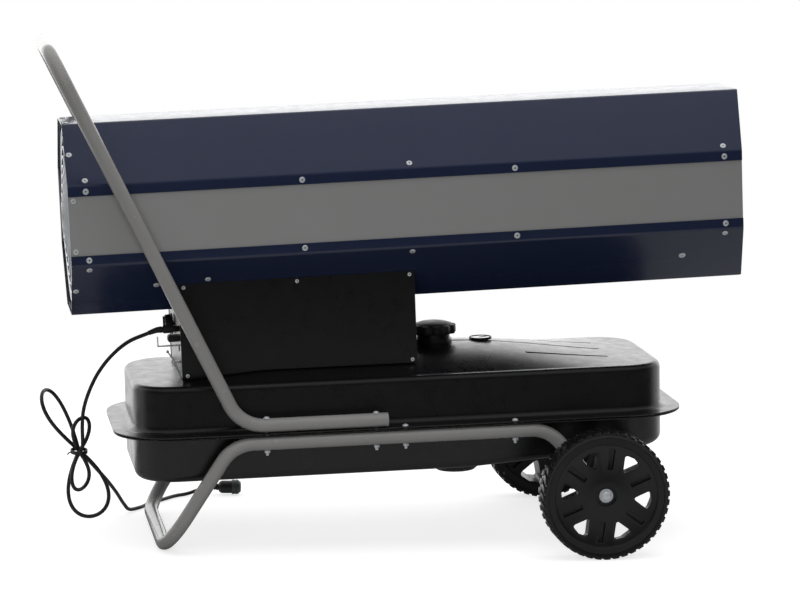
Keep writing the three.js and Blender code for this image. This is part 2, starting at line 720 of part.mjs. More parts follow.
function makeTank() {
  const crest = TANK_TOP + HUMP_H;
  const [bore, sunk] = [NECK.r - NECK.wall, 3];
  const neckTube = ring(bore, NECK.r, crest - sunk, NECK.top, "z", 28).translate(NECK.x, NECK.y, 0);
  const neckFoot = ring(bore, NECK.r + 3.5, crest - sunk, crest + 5.5, "z", 28);
  const neckHole = rod(bore, 60, NECK.top + 1, "z", 28).translate(NECK.x, NECK.y, 0);
  const gaugeHole = rod(GAUGE.stem + GAP, 60, 130, "z", 16).translate(GAUGE.x, GAUGE.y, 0);
  const pipeHole = rod(PIPE_R + GAP, 60, 130, "z", 12).translate(pipeX(), 0, 0);
  const upper = join(tankUpper(), neckTube, neckFoot.translate(NECK.x, NECK.y, 0));
  piece("tank_upper", cut(upper, neckHole, gaugeHole, pipeHole, ...rimHoles()), "black", tank);

  const at = (g) => g.translate(DRAIN.x, DRAIN.y, 0);
  const drainNeck = at(ring(DRAIN.neckR - 3, DRAIN.neckR, -TANK_BOTTOM - DRAIN.neckH, -TANK_BOTTOM + 1,
    "z", 24));
  const drainHole = at(rod(DRAIN.neckR - 3, -TANK_BOTTOM - 12, -TANK_BOTTOM + 6, "z", 24));
  piece("tank_lower", cut(join(tankLower(), drainNeck), drainHole, ...rimHoles()), "black", tank);

  // The cap's skirt is a lobed grip over the neck.
  const lobes = [];
  const count = CAP_LOBES * 4;
  for (let i = 0; i < count; i++) {
    const r = CAP_R - 1.6 + 1.6 * Math.cos((i * 2 * Math.PI * CAP_LOBES) / count);
    const a = (i * 2 * Math.PI) / count;
    lobes.push(V2(r * Math.cos(a), r * Math.sin(a)));
  }
  const grip = alongZ(lobes, CAP_BASE, CAP_BASE + CAP_H - 1);
  const capTop = CAP_BASE + CAP_H;
  const dome = turned(
    [
      [0, capTop - 2],
      [CAP_R - 3, capTop - 2],
      [CAP_R - 5, capTop],
      [14, capTop + CAP_DOME],
      [0, capTop + CAP_DOME],
    ],
    "z",
    28,
  );
  const well = rod(NECK.r + GAP + 0.5, CAP_BASE - 1, NECK.top + GAP, "z", 28);
  piece("fuel_cap", cut(join(grip, dome), well), "plastic", tank).position.set(NECK.x, NECK.y, 0);

  const gaugeSeat = TANK_TOP + crown(GAUGE.x - GAUGE.r, 0) + GAP;
  const gauge = join(
    rod(GAUGE.r, gaugeSeat, GAUGE.top, "z", 24),
    rod(GAUGE.stem, 60, gaugeSeat + 1, "z", 16),
    rod(2, -30, 62, "z", 8),
    rod(13, -40, -18, "z", 16),
  );
  piece("fuel_gauge", gauge, "plastic", tank).position.set(GAUGE.x, GAUGE.y, 0);

  const plugTop = -TANK_BOTTOM - GAP;
  const plug = turned(
    [
      [0, plugTop - DRAIN.neckH - GAP],
      [DRAIN.neckR + GAP + 0.4, plugTop - DRAIN.neckH - GAP],
      [DRAIN.neckR + GAP + 0.4, plugTop - 1],
      [DRAIN.r, plugTop - 1],
      [DRAIN.r, plugTop - DRAIN.h],
      [DRAIN.r * 0.8, plugTop - DRAIN.h - 7],
      [DRAIN.r * 0.4, plugTop - DRAIN.h - 10],
      [0, plugTop - DRAIN.h - 11],
    ],
    "z",
    28,
  );
  piece("drain_plug", plug, "plastic", tank).position.set(DRAIN.x, DRAIN.y, 0);

  const pipeSeat = TANK_TOP + HUMP_H + GAP;
  const pipe = join(rod(PIPE_R, -TANK_BOTTOM + 12, PIPE_TOP, "z", 12), rod(11, pipeSeat, pipeSeat + 3,
    "z", 16));
  piece("suction_pipe", pipe, "copper", tank).position.set(pipeX(), 0, 0);
}

// ---------- Trolley ----------
const RAIL_DROP = TUBE_R + TANK_SHEET + GAP * 1.5;
const RAIL_Z = RIM_Z - RAIL_DROP;
const HANDLE_Z = RIM_Z + RAIL_DROP;
const FOOT_Z = (TUBE_R - FOOT_FLAT - WHEEL_R - FOOT_X * Math.sin(LEAN)) / Math.cos(LEAN);

function bolt(x, side, low, high) {
  const shank = rod(BOLT_R, low, high + 1, "z", 8);
  const head = rod(BOLT_HEAD_R, high, high + BOLT_HEAD, "z", 6);
  const nut = rod(BOLT_HEAD_R, low - BOLT_HEAD, low, "z", 6);
  return join(shank, head, nut).translate(x, side * RAIL_Y, 0);
}

function makeTrolley() {
  const axleWay = V3(-RAIL_FRONT_X, 0, -RAIL_Z).setLength(AXLE_TAIL);
  const side = (s) => [
    V3(axleWay.x, s * RAIL_Y, axleWay.z),
    V3(RAIL_FRONT_X, s * RAIL_Y, RAIL_Z),
    V3(LEG_TOP_X, s * RAIL_Y, RAIL_Z),
    V3(FOOT_X, s * RAIL_Y, FOOT_Z),
  ];
  const frameLine = bent([...side(-1), ...side(1).reverse()], BEND_R);
  const floorBelow = box(-900, 100, -300, 300, -60, 0).translate(0, 0,
    -WHEEL_R).applyMatrix4(new THREE.Matrix4().makeRotationY(LEAN));
  const boltHoles = (xs, z) =>
    xs.flatMap((x) => [-1, 1].map((s) => rod(BOLT_R + GAP, z - TUBE_R - 1, z + TUBE_R + 1, "z",
      8).translate(x, s * RAIL_Y, 0)));
  const axleBores = [-1, 1].map((s) => rod(AXLE_R + GAP, s * RAIL_Y - 20, s * RAIL_Y + 20, "y", 16));
  const allBolts = [...HANDLE_BOLTS_X, ...RIM_BOLTS_X];
  piece("frame_tube", cut(sweep(frameLine, TUBE_R, TUBE_SIDES), floorBelow, ...axleBores,
    ...boltHoles(allBolts, RAIL_Z)), "frame", chassis);

  const handleSide = (s) => [
    V3(HANDLE_FRONT_X, s * RAIL_Y, HANDLE_Z),
    V3(HANDLE_BEND_X, s * RAIL_Y, HANDLE_Z),
    V3(HANDLE_TOP_X, s * RAIL_Y, HANDLE_TOP_Z),
  ];
  const handleLine = bent([...handleSide(-1), ...handleSide(1).reverse()], BEND_R);
  const mouths = [-1, 1].map((s) =>
    rod(TUBE_R - TUBE_WALL, HANDLE_FRONT_X - HANDLE_MOUTH + 20, HANDLE_FRONT_X + 1, "x", 12).translate(0,
      s * RAIL_Y, HANDLE_Z),
  );
  piece("handle_tube", cut(sweep(handleLine, TUBE_R, TUBE_SIDES), ...mouths, ...boltHoles(HANDLE_BOLTS_X,
    HANDLE_Z)), "frame", chassis);

  const holeDepth = [RAIL_Z - TUBE_R - GAP, HANDLE_Z + TUBE_R + GAP, RIM_Z + TANK_SHEET + GAP * 1.5];
  [-1, 1].forEach((s) => {
    const name = s < 0 ? "right" : "left";
    HANDLE_BOLTS_X.forEach((x, i) => piece(`handle_bolt_${name}_${i + 1}`, bolt(x, s, holeDepth[0],
      holeDepth[1]), "steel", chassis));
    RIM_BOLTS_X.forEach((x, i) => piece(`rim_bolt_${name}_${i + 1}`, bolt(x, s, holeDepth[0],
      holeDepth[2]), "steel", chassis));
  });
}

// Holes for the bolts through both sheets of the tank's rim, in the tank's frame.
function rimHoles() {
  return [...HANDLE_BOLTS_X, ...RIM_BOLTS_X].flatMap((x) =>
    [-1, 1].map((s) => rod(BOLT_R + GAP, -8, 8, "z", 8).translate(x - TANK_X, s * RAIL_Y, 0)),
  );
}

// ---------- Wheels ----------
function wheelBody() {
  const half = WHEEL_W / 2 - 1.5;
  const lip = ring(RIM_R - RIM_LIP, RIM_R, -half, half, "y", RIM_SIDES);
  const web = rod(RIM_R - RIM_LIP + 1, -WEB_T / 2, WEB_T / 2, "y", RIM_SIDES);
  const hub = rod(HUB_R, -half, half, "y", 20);
  const holes = Array.from({ length: SPOKES }, (_, i) => {
    const a = HOLE_PHASE + (i * 2 * Math.PI) / SPOKES;
    const at = (r, off) => V2(r * Math.cos(a + off), r * Math.sin(a + off));
    const mid = at(HOLE_OUTER_R + 3, 0);
    const [p, q] = [at(HOLE_OUTER_R, HOLE_SPREAD), at(HOLE_OUTER_R, -HOLE_SPREAD)];
    const [l, r] = [at(HOLE_APEX_R, 2.5 * DEG), at(HOLE_APEX_R, -2.5 * DEG)];
    return alongY([l, r, q, mid, p], -WHEEL_W, WHEEL_W);
  });
  const slots = Array.from({ length: SPOKES }, (_, i) => {
    const slot = box(SLOT_R[0], SLOT_R[1], WEB_T / 2 - SLOT_DEPTH, WEB_T, -SLOT_W / 2, SLOT_W / 2);
    const back = box(SLOT_R[0], SLOT_R[1], -WEB_T, -WEB_T / 2 + SLOT_DEPTH, -SLOT_W / 2, SLOT_W / 2);
    const turn = -HOLE_PHASE - ((i + 0.5) * 2 * Math.PI) / SPOKES;
    return join(slot, back).rotate([0, (turn * 180) / Math.PI, 0]);
  });
  const recesses = [-1, 1].map((s) => {
    const [a, b] = [s * (half - HUB_RECESS), s * (half + 1)];
    return rod(HUB_RECESS_R, Math.min(a, b), Math.max(a, b), "y", 20);
  });
  const bore = rod(AXLE_R + GAP, -WHEEL_W, WHEEL_W, "y", 16);
  return cut(join(lip, web, hub), ...holes, ...slots, ...recesses, bore);
}

function tyreBody() {
  const outline = [];
  const pitch = (2 * Math.PI) / TREAD_LUGS;
  const low = WHEEL_R - TREAD_DEPTH;
  for (let i = 0; i < TREAD_LUGS; i++) {
    const a = -Math.PI / 2 + i * pitch;
    [
      [WHEEL_R, -0.28],
      [WHEEL_R, 0.28],
      [low, 0.36],
      [low, 0.64],
    ].forEach(([r, k]) => outline.push(V2(r * Math.cos(a + k * pitch), r * Math.sin(a + k * pitch))));
  }
  const block = alongY(outline, -WHEEL_W / 2, WHEEL_W / 2);
  return cut(block, rod(RIM_R + GAP, -WHEEL_W, WHEEL_W, "y", RIM_SIDES));
}

function makeWheels() {
  const hubFace = WHEEL_W / 2 - 1.5 - HUB_RECESS;
  const axleEnd = WHEEL_Y + hubFace + GAP + NUT_T - 3;
  const collar = (s) => {
    const [a, b] = [s * (RAIL_Y + TUBE_R + GAP), s * (WHEEL_Y - WHEEL_W / 2 + 1.5 - GAP)];
    return rod(COLLAR_R, Math.min(a, b), Math.max(a, b), "y", 16);
  };
  piece("axle", join(rod(AXLE_R, -axleEnd, axleEnd, "y", 16), collar(-1), collar(1)), "steel", chassis);
  [-1, 1].forEach((s) => {
    const name = s < 0 ? "right" : "left";
    piece(`wheel_${name}`, wheelBody(), "plastic", chassis).position.y = s * WHEEL_Y;
    piece(`tyre_${name}`, tyreBody(), "rubber", chassis).position.y = s * WHEEL_Y;
    const seat = hubFace + GAP;
    const cup = cut(rod(NUT_R, seat, seat + NUT_T, "y", 6), rod(AXLE_R + GAP, seat - 1,
      seat + NUT_T - 2.5, "y", 16));
    const nut = s > 0 ? cup : cup.rotate([180, 0, 0]);
    piece(`wheel_nut_${name}`, nut, "steel", chassis).position.y = s * WHEEL_Y;
  });
}

// ---------- Control box ----------
const BOX_IN = BOX_HALF_Y - SHEET - GAP;
const slantW = (y) => -(BARREL_HALF + octCrease(BARREL_HALF) - Math.abs(y));

// Height in the heater's frame of a point over the tank's top.
const overTank = (u, y, clear) => crownW(u) - HUMP_H + crown(HEATER_X - TANK_X + u, y) + clear;

function boxWall(u0, u1, humpClear) {
  const c = octCrease(BARREL_HALF);
  const drop = 0.8;
  const top = [V2(BOX_IN, slantW(BOX_IN) - drop), V2(c, -BARREL_HALF - drop), V2(-c, -BARREL_HALF - drop),
    V2(-BOX_IN, slantW(BOX_IN) - drop)];
  const bottom = [];
  const steps = 12;
  for (let i = 0; i <= steps; i++) {
    const y = -BOX_IN + (2 * BOX_IN * i) / steps;
    const under = overTank(u0, y, humpClear);
    bottom.push(V2(y, Math.max(under, BOX_BOTTOM)));
  }
  return alongX([...top, ...bottom], u0, u1);
}

function makeBox() {
  const [u0, u1] = BOX_X;
  const skirt = 1;
  const rear = boxWall(u0 + skirt, u0 + skirt + SHEET, 3);
  const front = boxWall(u1 - skirt - SHEET, u1 - skirt, 3);
  const deck = box(u0 + skirt + SHEET / 2, u1 - skirt - SHEET / 2, -52, 52, DECK_W - SHEET, DECK_W);
  const deckHole = rod(14, DECK_W - 5, DECK_W + 5, "z", 20).translate(PIPE_U, 0, 0);
  const pads = PAD_X.map((u) => box(u, u + 14, -46, 46, crownW(u) + GAP + 0.2, DECK_W - SHEET / 2));
  const glandHole = rod(GLAND.baseR - 1, u0 - 2, u0 + 5, "x", 12).translate(0, GLAND.y, GLAND.w);
  const knobHole = rod(KNOB.shaft + GAP, u0 - 2, u0 + 5, "x", 12).translate(0, KNOB.y, KNOB.w);
  const switchHole = box(u0 - 2, u0 + 5, SWITCH.y - SWITCH.halfY + 2, SWITCH.y + SWITCH.halfY - 2,
    SWITCH.w - SWITCH.half + 2, SWITCH.w + SWITCH.half - 2);
  piece("control_chassis", cut(join(rear, front, deck, ...pads), deckHole, glandHole, knobHole,
    switchHole), "black", heater);

  const coverIn = BOX_HALF_Y - SHEET;
  const [topOut, topIn] = [slantW(BOX_HALF_Y) - GAP * 1.5, slantW(coverIn) - GAP * 1.5];
  const steps = 14;
  const coverClear = 2.2;
  const hem = Array.from({ length: steps + 1 }, (_, i) => {
    const u = u0 + ((u1 - u0) * i) / steps;
    return V2(u, Math.max(overTank(u, coverIn, coverClear), BOX_BOTTOM));
  });
  const below = [V2(u0 - 1, BOX_BOTTOM - 1), V2(u1 + 1, BOX_BOTTOM - 1), V2(u1 + 1, hem[steps].y),
    ...[...hem].reverse(), V2(u0 - 1, hem[0].y)];
  const hemCut = alongY(below, -BOX_HALF_Y - 1, BOX_HALF_Y + 1);
  [-1, 1].forEach((s) => {
    const outline = [V2(s * BOX_HALF_Y, BOX_BOTTOM), V2(s * BOX_HALF_Y, topOut), V2(s * coverIn, topIn),
      V2(s * coverIn, BOX_BOTTOM)];
    piece(`side_cover_${s < 0 ? "right" : "left"}`, cut(alongX(outline, u0, u1), hemCut), "black", heater);
  });

  const [[b0, b1], boardW] = [BOARD.u, DECK_W + BOARD.lift];
  const board = box(b0, b1, -BOARD.half, BOARD.half, boardW, boardW + 1.6);
  const [postU, postY] = [[b0 + 6, b1 - 6], [6 - BOARD.half, BOARD.half - 6]];
  const posts = postU.flatMap((u) =>
    postY.map((y) => rod(3, DECK_W + GAP, boardW + 0.5, "z", 8).translate(u, y, 0)));
  const chips = [box(b0 + 20, b0 + 45, -20, 10, boardW + 1, boardW + 15), box(b1 - 35, b1 - 15, -30, 20,
    boardW + 1, boardW + 10)];
  piece("control_board", join(board, ...posts, ...chips), "board", heater);
  piece("ignition_transformer", box(...TRANSFORMER.u, -TRANSFORMER.half, TRANSFORMER.half,
    DECK_W + GAP, DECK_W + TRANSFORMER.h), "plastic", heater);

  const wall = u0 + skirt - GAP;
  const glandBase = rod(GLAND.baseR, wall - GLAND.base, wall, "x", 16);
  const glandNut = turned(
    [
      [0, wall - GLAND.base - GLAND.nut],
      [GLAND.r - 2.2, wall - GLAND.base - GLAND.nut],
      [GLAND.r, wall - GLAND.base - GLAND.nut + 3],
      [GLAND.r, wall - GLAND.base + 0.5],
      [0, wall - GLAND.base + 0.5],
    ],
    "x",
    12,
  );
  const glandTail = rod(GLAND.baseR - 1.5, wall - 1, wall + 12, "x", 12);
  piece("cord_gland", join(glandBase, glandNut, glandTail), "plastic", heater).position.set(0, GLAND.y,
    GLAND.w);

  const hookEnd = wall - HOOK.out;
  const strip = join(
    box(hookEnd, wall, -HOOK.wide / 2, HOOK.wide / 2, -HOOK.t, 0),
    box(hookEnd - HOOK.t, hookEnd + 0.2, -HOOK.wide / 2, HOOK.wide / 2, -HOOK.t, HOOK.up),
    box(wall - HOOK.t, wall, -HOOK.wide / 2, HOOK.wide / 2, -10, 0.5),
  );
  piece("cord_hook", strip, "steel", heater).position.set(0, HOOK.y, HOOK.w - 3);

  const body = box(wall - SWITCH.out, wall, -SWITCH.halfY, SWITCH.halfY, -SWITCH.half, SWITCH.half);
  const tail = box(wall - 1, wall + 22, -SWITCH.halfY + 2.5, SWITCH.halfY - 2.5, -SWITCH.half + 2.5,
    SWITCH.half - 2.5);
  const well = box(wall - SWITCH.out - 1, wall - SWITCH.out + 5, -SWITCH.halfY + 1.5, SWITCH.halfY - 1.5,
    -SWITCH.half + 1.5, SWITCH.half - 1.5);
  piece("power_switch", cut(join(body, tail), well), "plastic", heater).position.set(0, SWITCH.y, SWITCH.w);
  const rockPlay = 0.4; // room for the rocker's corners as it turns
  const rockHalfY = SWITCH.halfY - 1.5 - GAP - rockPlay;
  const rockHalf = SWITCH.half - 1.5 - GAP;
  const rocker = alongZ([V2(4.2, -1), V2(4.2, 1), V2(1.5, rockHalfY), V2(-1.6, rockHalfY), V2(-0.6, 0),
    V2(-1.6, -rockHalfY), V2(1.5, -rockHalfY)], -rockHalf, rockHalf);
  piece("switch_rocker", rocker, "ceramic", heater).position.set(wall - SWITCH.out + 0.3, SWITCH.y, SWITCH.w);

  const knob = join(
    turned([[0, -KNOB.h], [KNOB.r - 2, -KNOB.h], [KNOB.r, -KNOB.h + 2], [KNOB.r, -1.5], [0, -1.5]], "x", 24),
    rod(KNOB.shaft, -2, 10, "x", 12),
    box(-KNOB.h - 3, -KNOB.h + 1, -2.5, 2.5, -KNOB.r + 4, KNOB.r - 4),
  );
  piece("thermostat_knob", knob, "plastic", heater).position.set(wall, KNOB.y, KNOB.w);
  const tipU = u0 - 17.9;
  const sensorLine = [V3(wall - 1, 0, -257), V3(wall - 3, 0, -252), V3(wall - 9, 0, -236), V3(tipU, 0, -221)];
  const sensor = join(
    sweep(sensorLine, SENSOR.r, 6),
    new THREE.SphereGeometry(SENSOR.ball, 10, 6).translate(tipU, 0, -221),
    box(wall - 10.5, wall, -3, 3, -240, -237),
  );
  piece("room_sensor", sensor, "steel", heater).position.set(0, SENSOR.y, 0);

  const pumpU = (PUMP_X[0] + PUMP_X[1]) / 2;
  const pipeTopW = crownW(PIPE_U) + PIPE_TOP - TANK_TOP - HUMP_H;
  const hoseEnds = [V3(pumpU, 0, -PUMP_HALF - 6 - GAP), V3(PIPE_U, 0, pipeTopW + GAP + 0.5)];
  const hoseLine = new THREE.CatmullRomCurve3([
    hoseEnds[0],
    V3(pumpU, 0, -PUMP_HALF - 40),
    V3(pumpU + 14, 0, -120),
    V3(PIPE_U - 20, 0, -168),
    V3(PIPE_U, 0, pipeTopW + 22),
    hoseEnds[1],
  ]);
  piece("fuel_hose", sweep(hoseLine.getPoints(18), 5, 8), "rubber", heater);
}

// ---------- Mains cord, in the ground frame ----------
// The cord leaves the gland, bends down to a bundle of four loops tied at the waist, and runs on to the
// floor and the plug. Each loop leaves the waist on its near strand and returns one layer further away.
const WAIST = V3(-818.9, -45, 146.2);
const LAYER = 7.2;
const LOOPS = [
  { tip: [2.7, -60], wide: 30, swing: 17 },
  { tip: [5, 55], wide: 28, swing: 14 },
  { tip: [23.4, -107.5], wide: 64, swing: 0 },
  { tip: [-56.7, 95.4], wide: 26, swing: 25 },
];
const LOOP_STEPS = 24;
const HANK_SIDES = 6;
const ENTRY = [V3(5.1, -14, 16), V3(4.6, -14, 8.5)];
const EXIT = [V3(5, 15.5, -6), V3(10.5, 20, -12)];
const DROP = [
  V3(-715.9, -70.4, 338.3),
  V3(-742.4, -68.8, 326.4),
  V3(-768.7, -67.1, 304.1),
  V3(-789.2, -65.5, 277.1),
  V3(-803.7, -63.9, 247),
  V3(-812.5, -62.2, 216.9),
  V3(-814.5, -60.6, 192.6),
];
const RUN = [
  V3(-790, 10, 108.5),
  V3(-768.1, 58, 77.7),
  V3(-749.6, 98, 48.3),
  V3(-733.5, 137, 19),
  V3(-722.9, 160.8, 5.2),
  V3(-703.7, 183, CORD_LIE),
  V3(-688.5, 208, CORD_LIE),
  V3(-656.3, 248.8, CORD_LIE),
  V3(-635.2, 273, CORD_LIE),
  V3(-612.8, 288, CORD_LIE + 0.4),
];
const PLUG = { start: V3(-573, 296.5, 12.8), yaw: -4 * DEG, length: 52, r: 11, relief: 22, capR: 12.6,
  cap: 16, pinR: 2.4 };

function hankLine() {
  const line = [];
  const layerY = (k) => (k - LOOPS.length / 2) * LAYER;
  const widest = 0.7698; // of sin t sin t/2
  const furthest = 0.626; // of that times the way out
  LOOPS.forEach((loop, k) => {
    const tip = V3(loop.tip[0], 0, loop.tip[1]);
    const toLeft = V3(-Math.abs(tip.z), 0, Math.sign(tip.z) * tip.x).normalize();
    for (let i = 0; i < LOOP_STEPS; i++) {
      const s = (i + 0.5) / LOOP_STEPS;
      const t = 2 * Math.PI * s;
      const out = (1 - Math.cos(t)) / 2;
      const side = (Math.sin(t) * Math.sin(t / 2)) / widest;
      const depth = layerY(k + s) - (side * out * loop.swing) / furthest;
      const point = V3(0, depth, 0).add(WAIST).addScaledVector(tip, out);
      line.push(point.addScaledVector(toLeft, (side * loop.wide) / 2));
    }
  });
  return line.slice(1, -1);
}

// The least space between stretches of a line that lie further apart along it than a few radii.
function leastGap(line, radius) {
  const along = [0];
  for (let i = 1; i < line.length; i++) along.push(along[i - 1] + line[i].distanceTo(line[i - 1]));
  let least = Infinity;
  for (let i = 0; i < line.length; i++)
    for (let j = i + 1; j < line.length; j++)
      if (along[j] - along[i] > 6 * radius) least = Math.min(least, line[i].distanceTo(line[j]) - 2 * radius);
  return least;
}

const smoothed = (line, steps) => new THREE.CatmullRomCurve3(line, false,
  "centripetal").getSpacedPoints(steps);
// A cord's stations: its first and last runs stay straight, square to what they meet.
const stepped = (line) => {
  const free = line.slice(1, -1);
  const length = new THREE.CatmullRomCurve3(free, false, "centripetal").getLength();
  return [line[0], ...smoothed(free, Math.round(length / (5 * CORD_R))), line[line.length - 1]];
};

function makeCord() {
  root.updateMatrixWorld(true);
  const cord = new THREE.Group();
  ground.add(cord);
  const ahead = (p, q, reach) => V3().subVectors(p, q).setLength(reach).add(p);
  const entry = ENTRY.map((p) => V3().addVectors(WAIST, p));
  const exit = EXIT.map((p) => V3().addVectors(WAIST, p));
  const hank = [...entry, ...hankLine(), ...exit];
  console.log("cord_hank: least gap to itself " + leastGap(smoothed(hank, 900), CORD_R).toFixed(2) + " mm");
  piece("cord_hank", sweep(hank, CORD_R, HANK_SIDES), "rubber", cord);

  const nutFace = BOX_X[0] + 1 - GAP - GLAND.base - GLAND.nut;
  const leave = heater.localToWorld(V3(nutFace - GAP, GLAND.y, GLAND.w));
  const straight = heater.localToWorld(V3(nutFace - 2 * CORD_R, GLAND.y, GLAND.w));
  const drop = stepped([leave, straight, ...DROP, ahead(entry[0], entry[1], 2 * CORD_R), ahead(entry[0],
    entry[1], GAP)]);
  piece("cord_drop", sweep(drop, CORD_R, CORD_SIDES), "rubber", cord);

  const plugWay = V3(Math.cos(PLUG.yaw), Math.sin(PLUG.yaw), 0);
  const plugIn = V3().copy(PLUG.start).addScaledVector(plugWay, -GAP);
  const run = [ahead(exit[1], exit[0], GAP), ahead(exit[1], exit[0], 2 * CORD_R), ...RUN,
    V3().copy(plugIn).addScaledVector(plugWay, -2 * CORD_R), plugIn];
  piece("cord_run", sweep(stepped(run), CORD_R, CORD_SIDES), "rubber", cord);

  const tieIn = [12.2, 2 * LAYER + CORD_R + 2.2];
  const oval = (grow) => polygon(1, 20).map((p) => V2(p.x * (tieIn[0] + grow), p.y * (tieIn[1] + grow)));
  const band = cut(alongZ(oval(TIE_T), -TIE_H / 2, TIE_H / 2), alongZ(oval(0), -TIE_H, TIE_H));
  const tail = sweep([V3(-tieIn[0] - 0.5, -6, 0), V3(-tieIn[0] - 4, -8, -1), V3(-tieIn[0] - 7, -9, -4)],
    1, 6);
  piece("cord_tie", join(band, tail), "plastic", cord).position.copy(WAIST);

  const { length, r, relief, capR, cap, pinR } = PLUG;
  const body = turned([[0, 0], [CORD_R + 1.2, 0], [CORD_R + 2.4, relief], [r - 2, relief + 3], [r,
    relief + 7], [r, length - cap + 4], [0, length - cap + 4]], "x", 20);
  const pins = [-1, 1].map((s) => rod(pinR, length - cap + 3, length - 4, "x", 8).translate(0, 0, s * 4.6));
  const plug = piece("plug", join(body, ...pins), "plastic", cord);
  const shellT = 1.6;
  const cup = cut(
    turned([[0, length - cap], [capR, length - cap], [capR, length - 5], [capR - 4, length], [0, length]],
      "x", 20),
    rod(r + GAP, length - cap - 1, length - cap + 4 + GAP, "x", 20),
    rod(capR - shellT - 2, length - cap, length - shellT - 1, "x", 20),
  );
  const plugCap = piece("plug_cap", cup, "grey", cord);
  [plug, plugCap].forEach((mesh) => {
    mesh.position.copy(PLUG.start);
    mesh.rotation.z = PLUG.yaw;
  });
}

makeBarrel();
makeFanEnd();
makeBurner();
makeTank();
makeTrolley();
makeWheels();
makeBox();
makeCord();

// The part's origin is under the middle of the machine, measured without its cord.
const CORD_NODES = ["cord_hank", "cord_drop", "cord_run", "cord_tie", "plug", "plug_cap"];
root.updateMatrixWorld(true);
const bounds = new THREE.Box3();
root.traverse((o) => {
  if (o.isMesh && !CORD_NODES.includes(o.name)) bounds.union(new THREE.Box3().setFromObject(o, true));
});
ground.position.set(-(bounds.min.x + bounds.max.x) / 2, -(bounds.min.y + bounds.max.y) / 2, -bounds.min.z);

export default root;
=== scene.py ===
# %% [markdown]
# # A forced air heater on its trolley
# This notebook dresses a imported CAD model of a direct-fired heater: an octagonal barrel of coated sheet
# steel on a pressed fuel tank, carried by a bent tube trolley. The CAD solids are coarse where they are
# round, so the tank, the tubes, the wheels, the guard and the cord are made again here with bmesh
# operators, and every other solid is copied, cleaned and given soft edges.

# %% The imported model
import json
import math

import bmesh
import bpy
from mathutils import Matrix, Vector


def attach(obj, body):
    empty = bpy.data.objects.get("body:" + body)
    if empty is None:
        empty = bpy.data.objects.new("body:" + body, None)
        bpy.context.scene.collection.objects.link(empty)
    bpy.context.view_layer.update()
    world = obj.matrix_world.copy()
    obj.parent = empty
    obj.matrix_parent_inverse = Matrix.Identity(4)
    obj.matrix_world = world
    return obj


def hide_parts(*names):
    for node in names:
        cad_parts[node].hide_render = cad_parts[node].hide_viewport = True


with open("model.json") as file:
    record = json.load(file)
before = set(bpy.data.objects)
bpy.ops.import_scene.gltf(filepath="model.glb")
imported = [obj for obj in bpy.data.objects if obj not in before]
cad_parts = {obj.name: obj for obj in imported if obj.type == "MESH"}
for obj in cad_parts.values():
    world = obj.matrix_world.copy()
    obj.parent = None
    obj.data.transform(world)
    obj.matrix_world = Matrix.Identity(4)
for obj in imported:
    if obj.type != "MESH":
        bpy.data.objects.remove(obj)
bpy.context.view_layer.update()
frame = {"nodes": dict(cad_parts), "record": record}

scene = bpy.context.scene
record = frame["record"]
body_of = {node: body for body, nodes in record["behaviour"]["bodies"].items() for node in nodes}
slot_of = {part["node"]: part["material_slot"] for part in record["subparts"]}

# %% [markdown]
# ## Camera
# The picture is taken from 5 m away with a long lens, a little from behind and above, so the machine
# shows almost no perspective. The numbers come from a camera fitted to edges whose sizes are known.

# %% Camera
camera_data = bpy.data.cameras.new("camera")
camera_data.sensor_width = 36
camera_data.lens = 144.482
camera = bpy.data.objects.new("camera", camera_data)
camera.location = (-0.79483, -5.1261, 1.13963)
camera.rotation_euler = [math.radians(a) for a in (81.6728, -0.8125, -8.8725)]
scene.collection.objects.link(camera)
scene.camera = camera
scene.view_settings.view_transform = "Standard"
print("camera at", tuple(camera.location), "lens", camera_data.lens)

# %% [markdown]
# ## Frames
# The trolley leans back a little and the barrel tilts a little more. Each piece is drawn in millimetres
# in the frame that it is square to, and one matrix takes it to metres in the part's frame.

# %% Frames
MM = Matrix.Scale(0.001, 4)
LEAN = math.radians(2.033)
TILT = math.radians(0.977)
GROUND = Matrix.Translation((0.30996, 0, 0)) @ MM
CHASSIS = Matrix.Translation((0.30996, 0, 0.1025)) @ Matrix.Rotation(-LEAN, 4, "Y") @ MM
TANK = CHASSIS @ Matrix.Translation((-301.8, 0, 110))
HEATER = CHASSIS @ Matrix.Translation((-824.2, 0, 448.45)) @ Matrix.Rotation(-TILT, 4, "Y")
PART = Matrix.Identity(4)
print("barrel's rear end at", tuple(round(c, 4) for c in HEATER @ Vector((0, 0, 0))))

# %% [markdown]
# ## Colours and nodes
# Colours are written as sRGB hex values, as a paint maker's chart gives them, and one function turns them
# to the linear values that the shader wants. One more adds a shader node with its settings and links.


# %% Colour and node helpers
def colour(code):
    parts = [int(code[i : i + 2], 16) / 255 for i in (0, 2, 4)]
    return [c / 12.92 if c <= 0.04045 else ((c + 0.055) / 1.055) ** 2.4 for c in parts] + [1]


def add(tree, kind, inputs=None, **settings):
    made = tree.nodes.new("ShaderNode" + kind)
    for name, value in settings.items():
        setattr(made, name, value)
    for name, value in (inputs or {}).items():
        if isinstance(value, bpy.types.NodeSocket):
            tree.links.new(value, made.inputs[name])
        else:
            made.inputs[name].default_value = value
    return made


def per_metre(size_mm):
    return 1000 / size_mm


print("navy in linear light:", [round(c, 4) for c in colour("1a223a")])

# %% [markdown]
# ## Finishes
# Nearly everything on the machine is one of a few factory finishes. Each starts from its real process:
# powder coat flows out to a faint orange peel, moulded plastic keeps the spark-eroded grain of its tool,
# zinc plating is soft and cloudy, and new rubber has a dull shine. One recipe covers them: a base colour
# that drifts over a hand's width, a roughness that drifts too, and a fine relief of real size in
# millimetres.


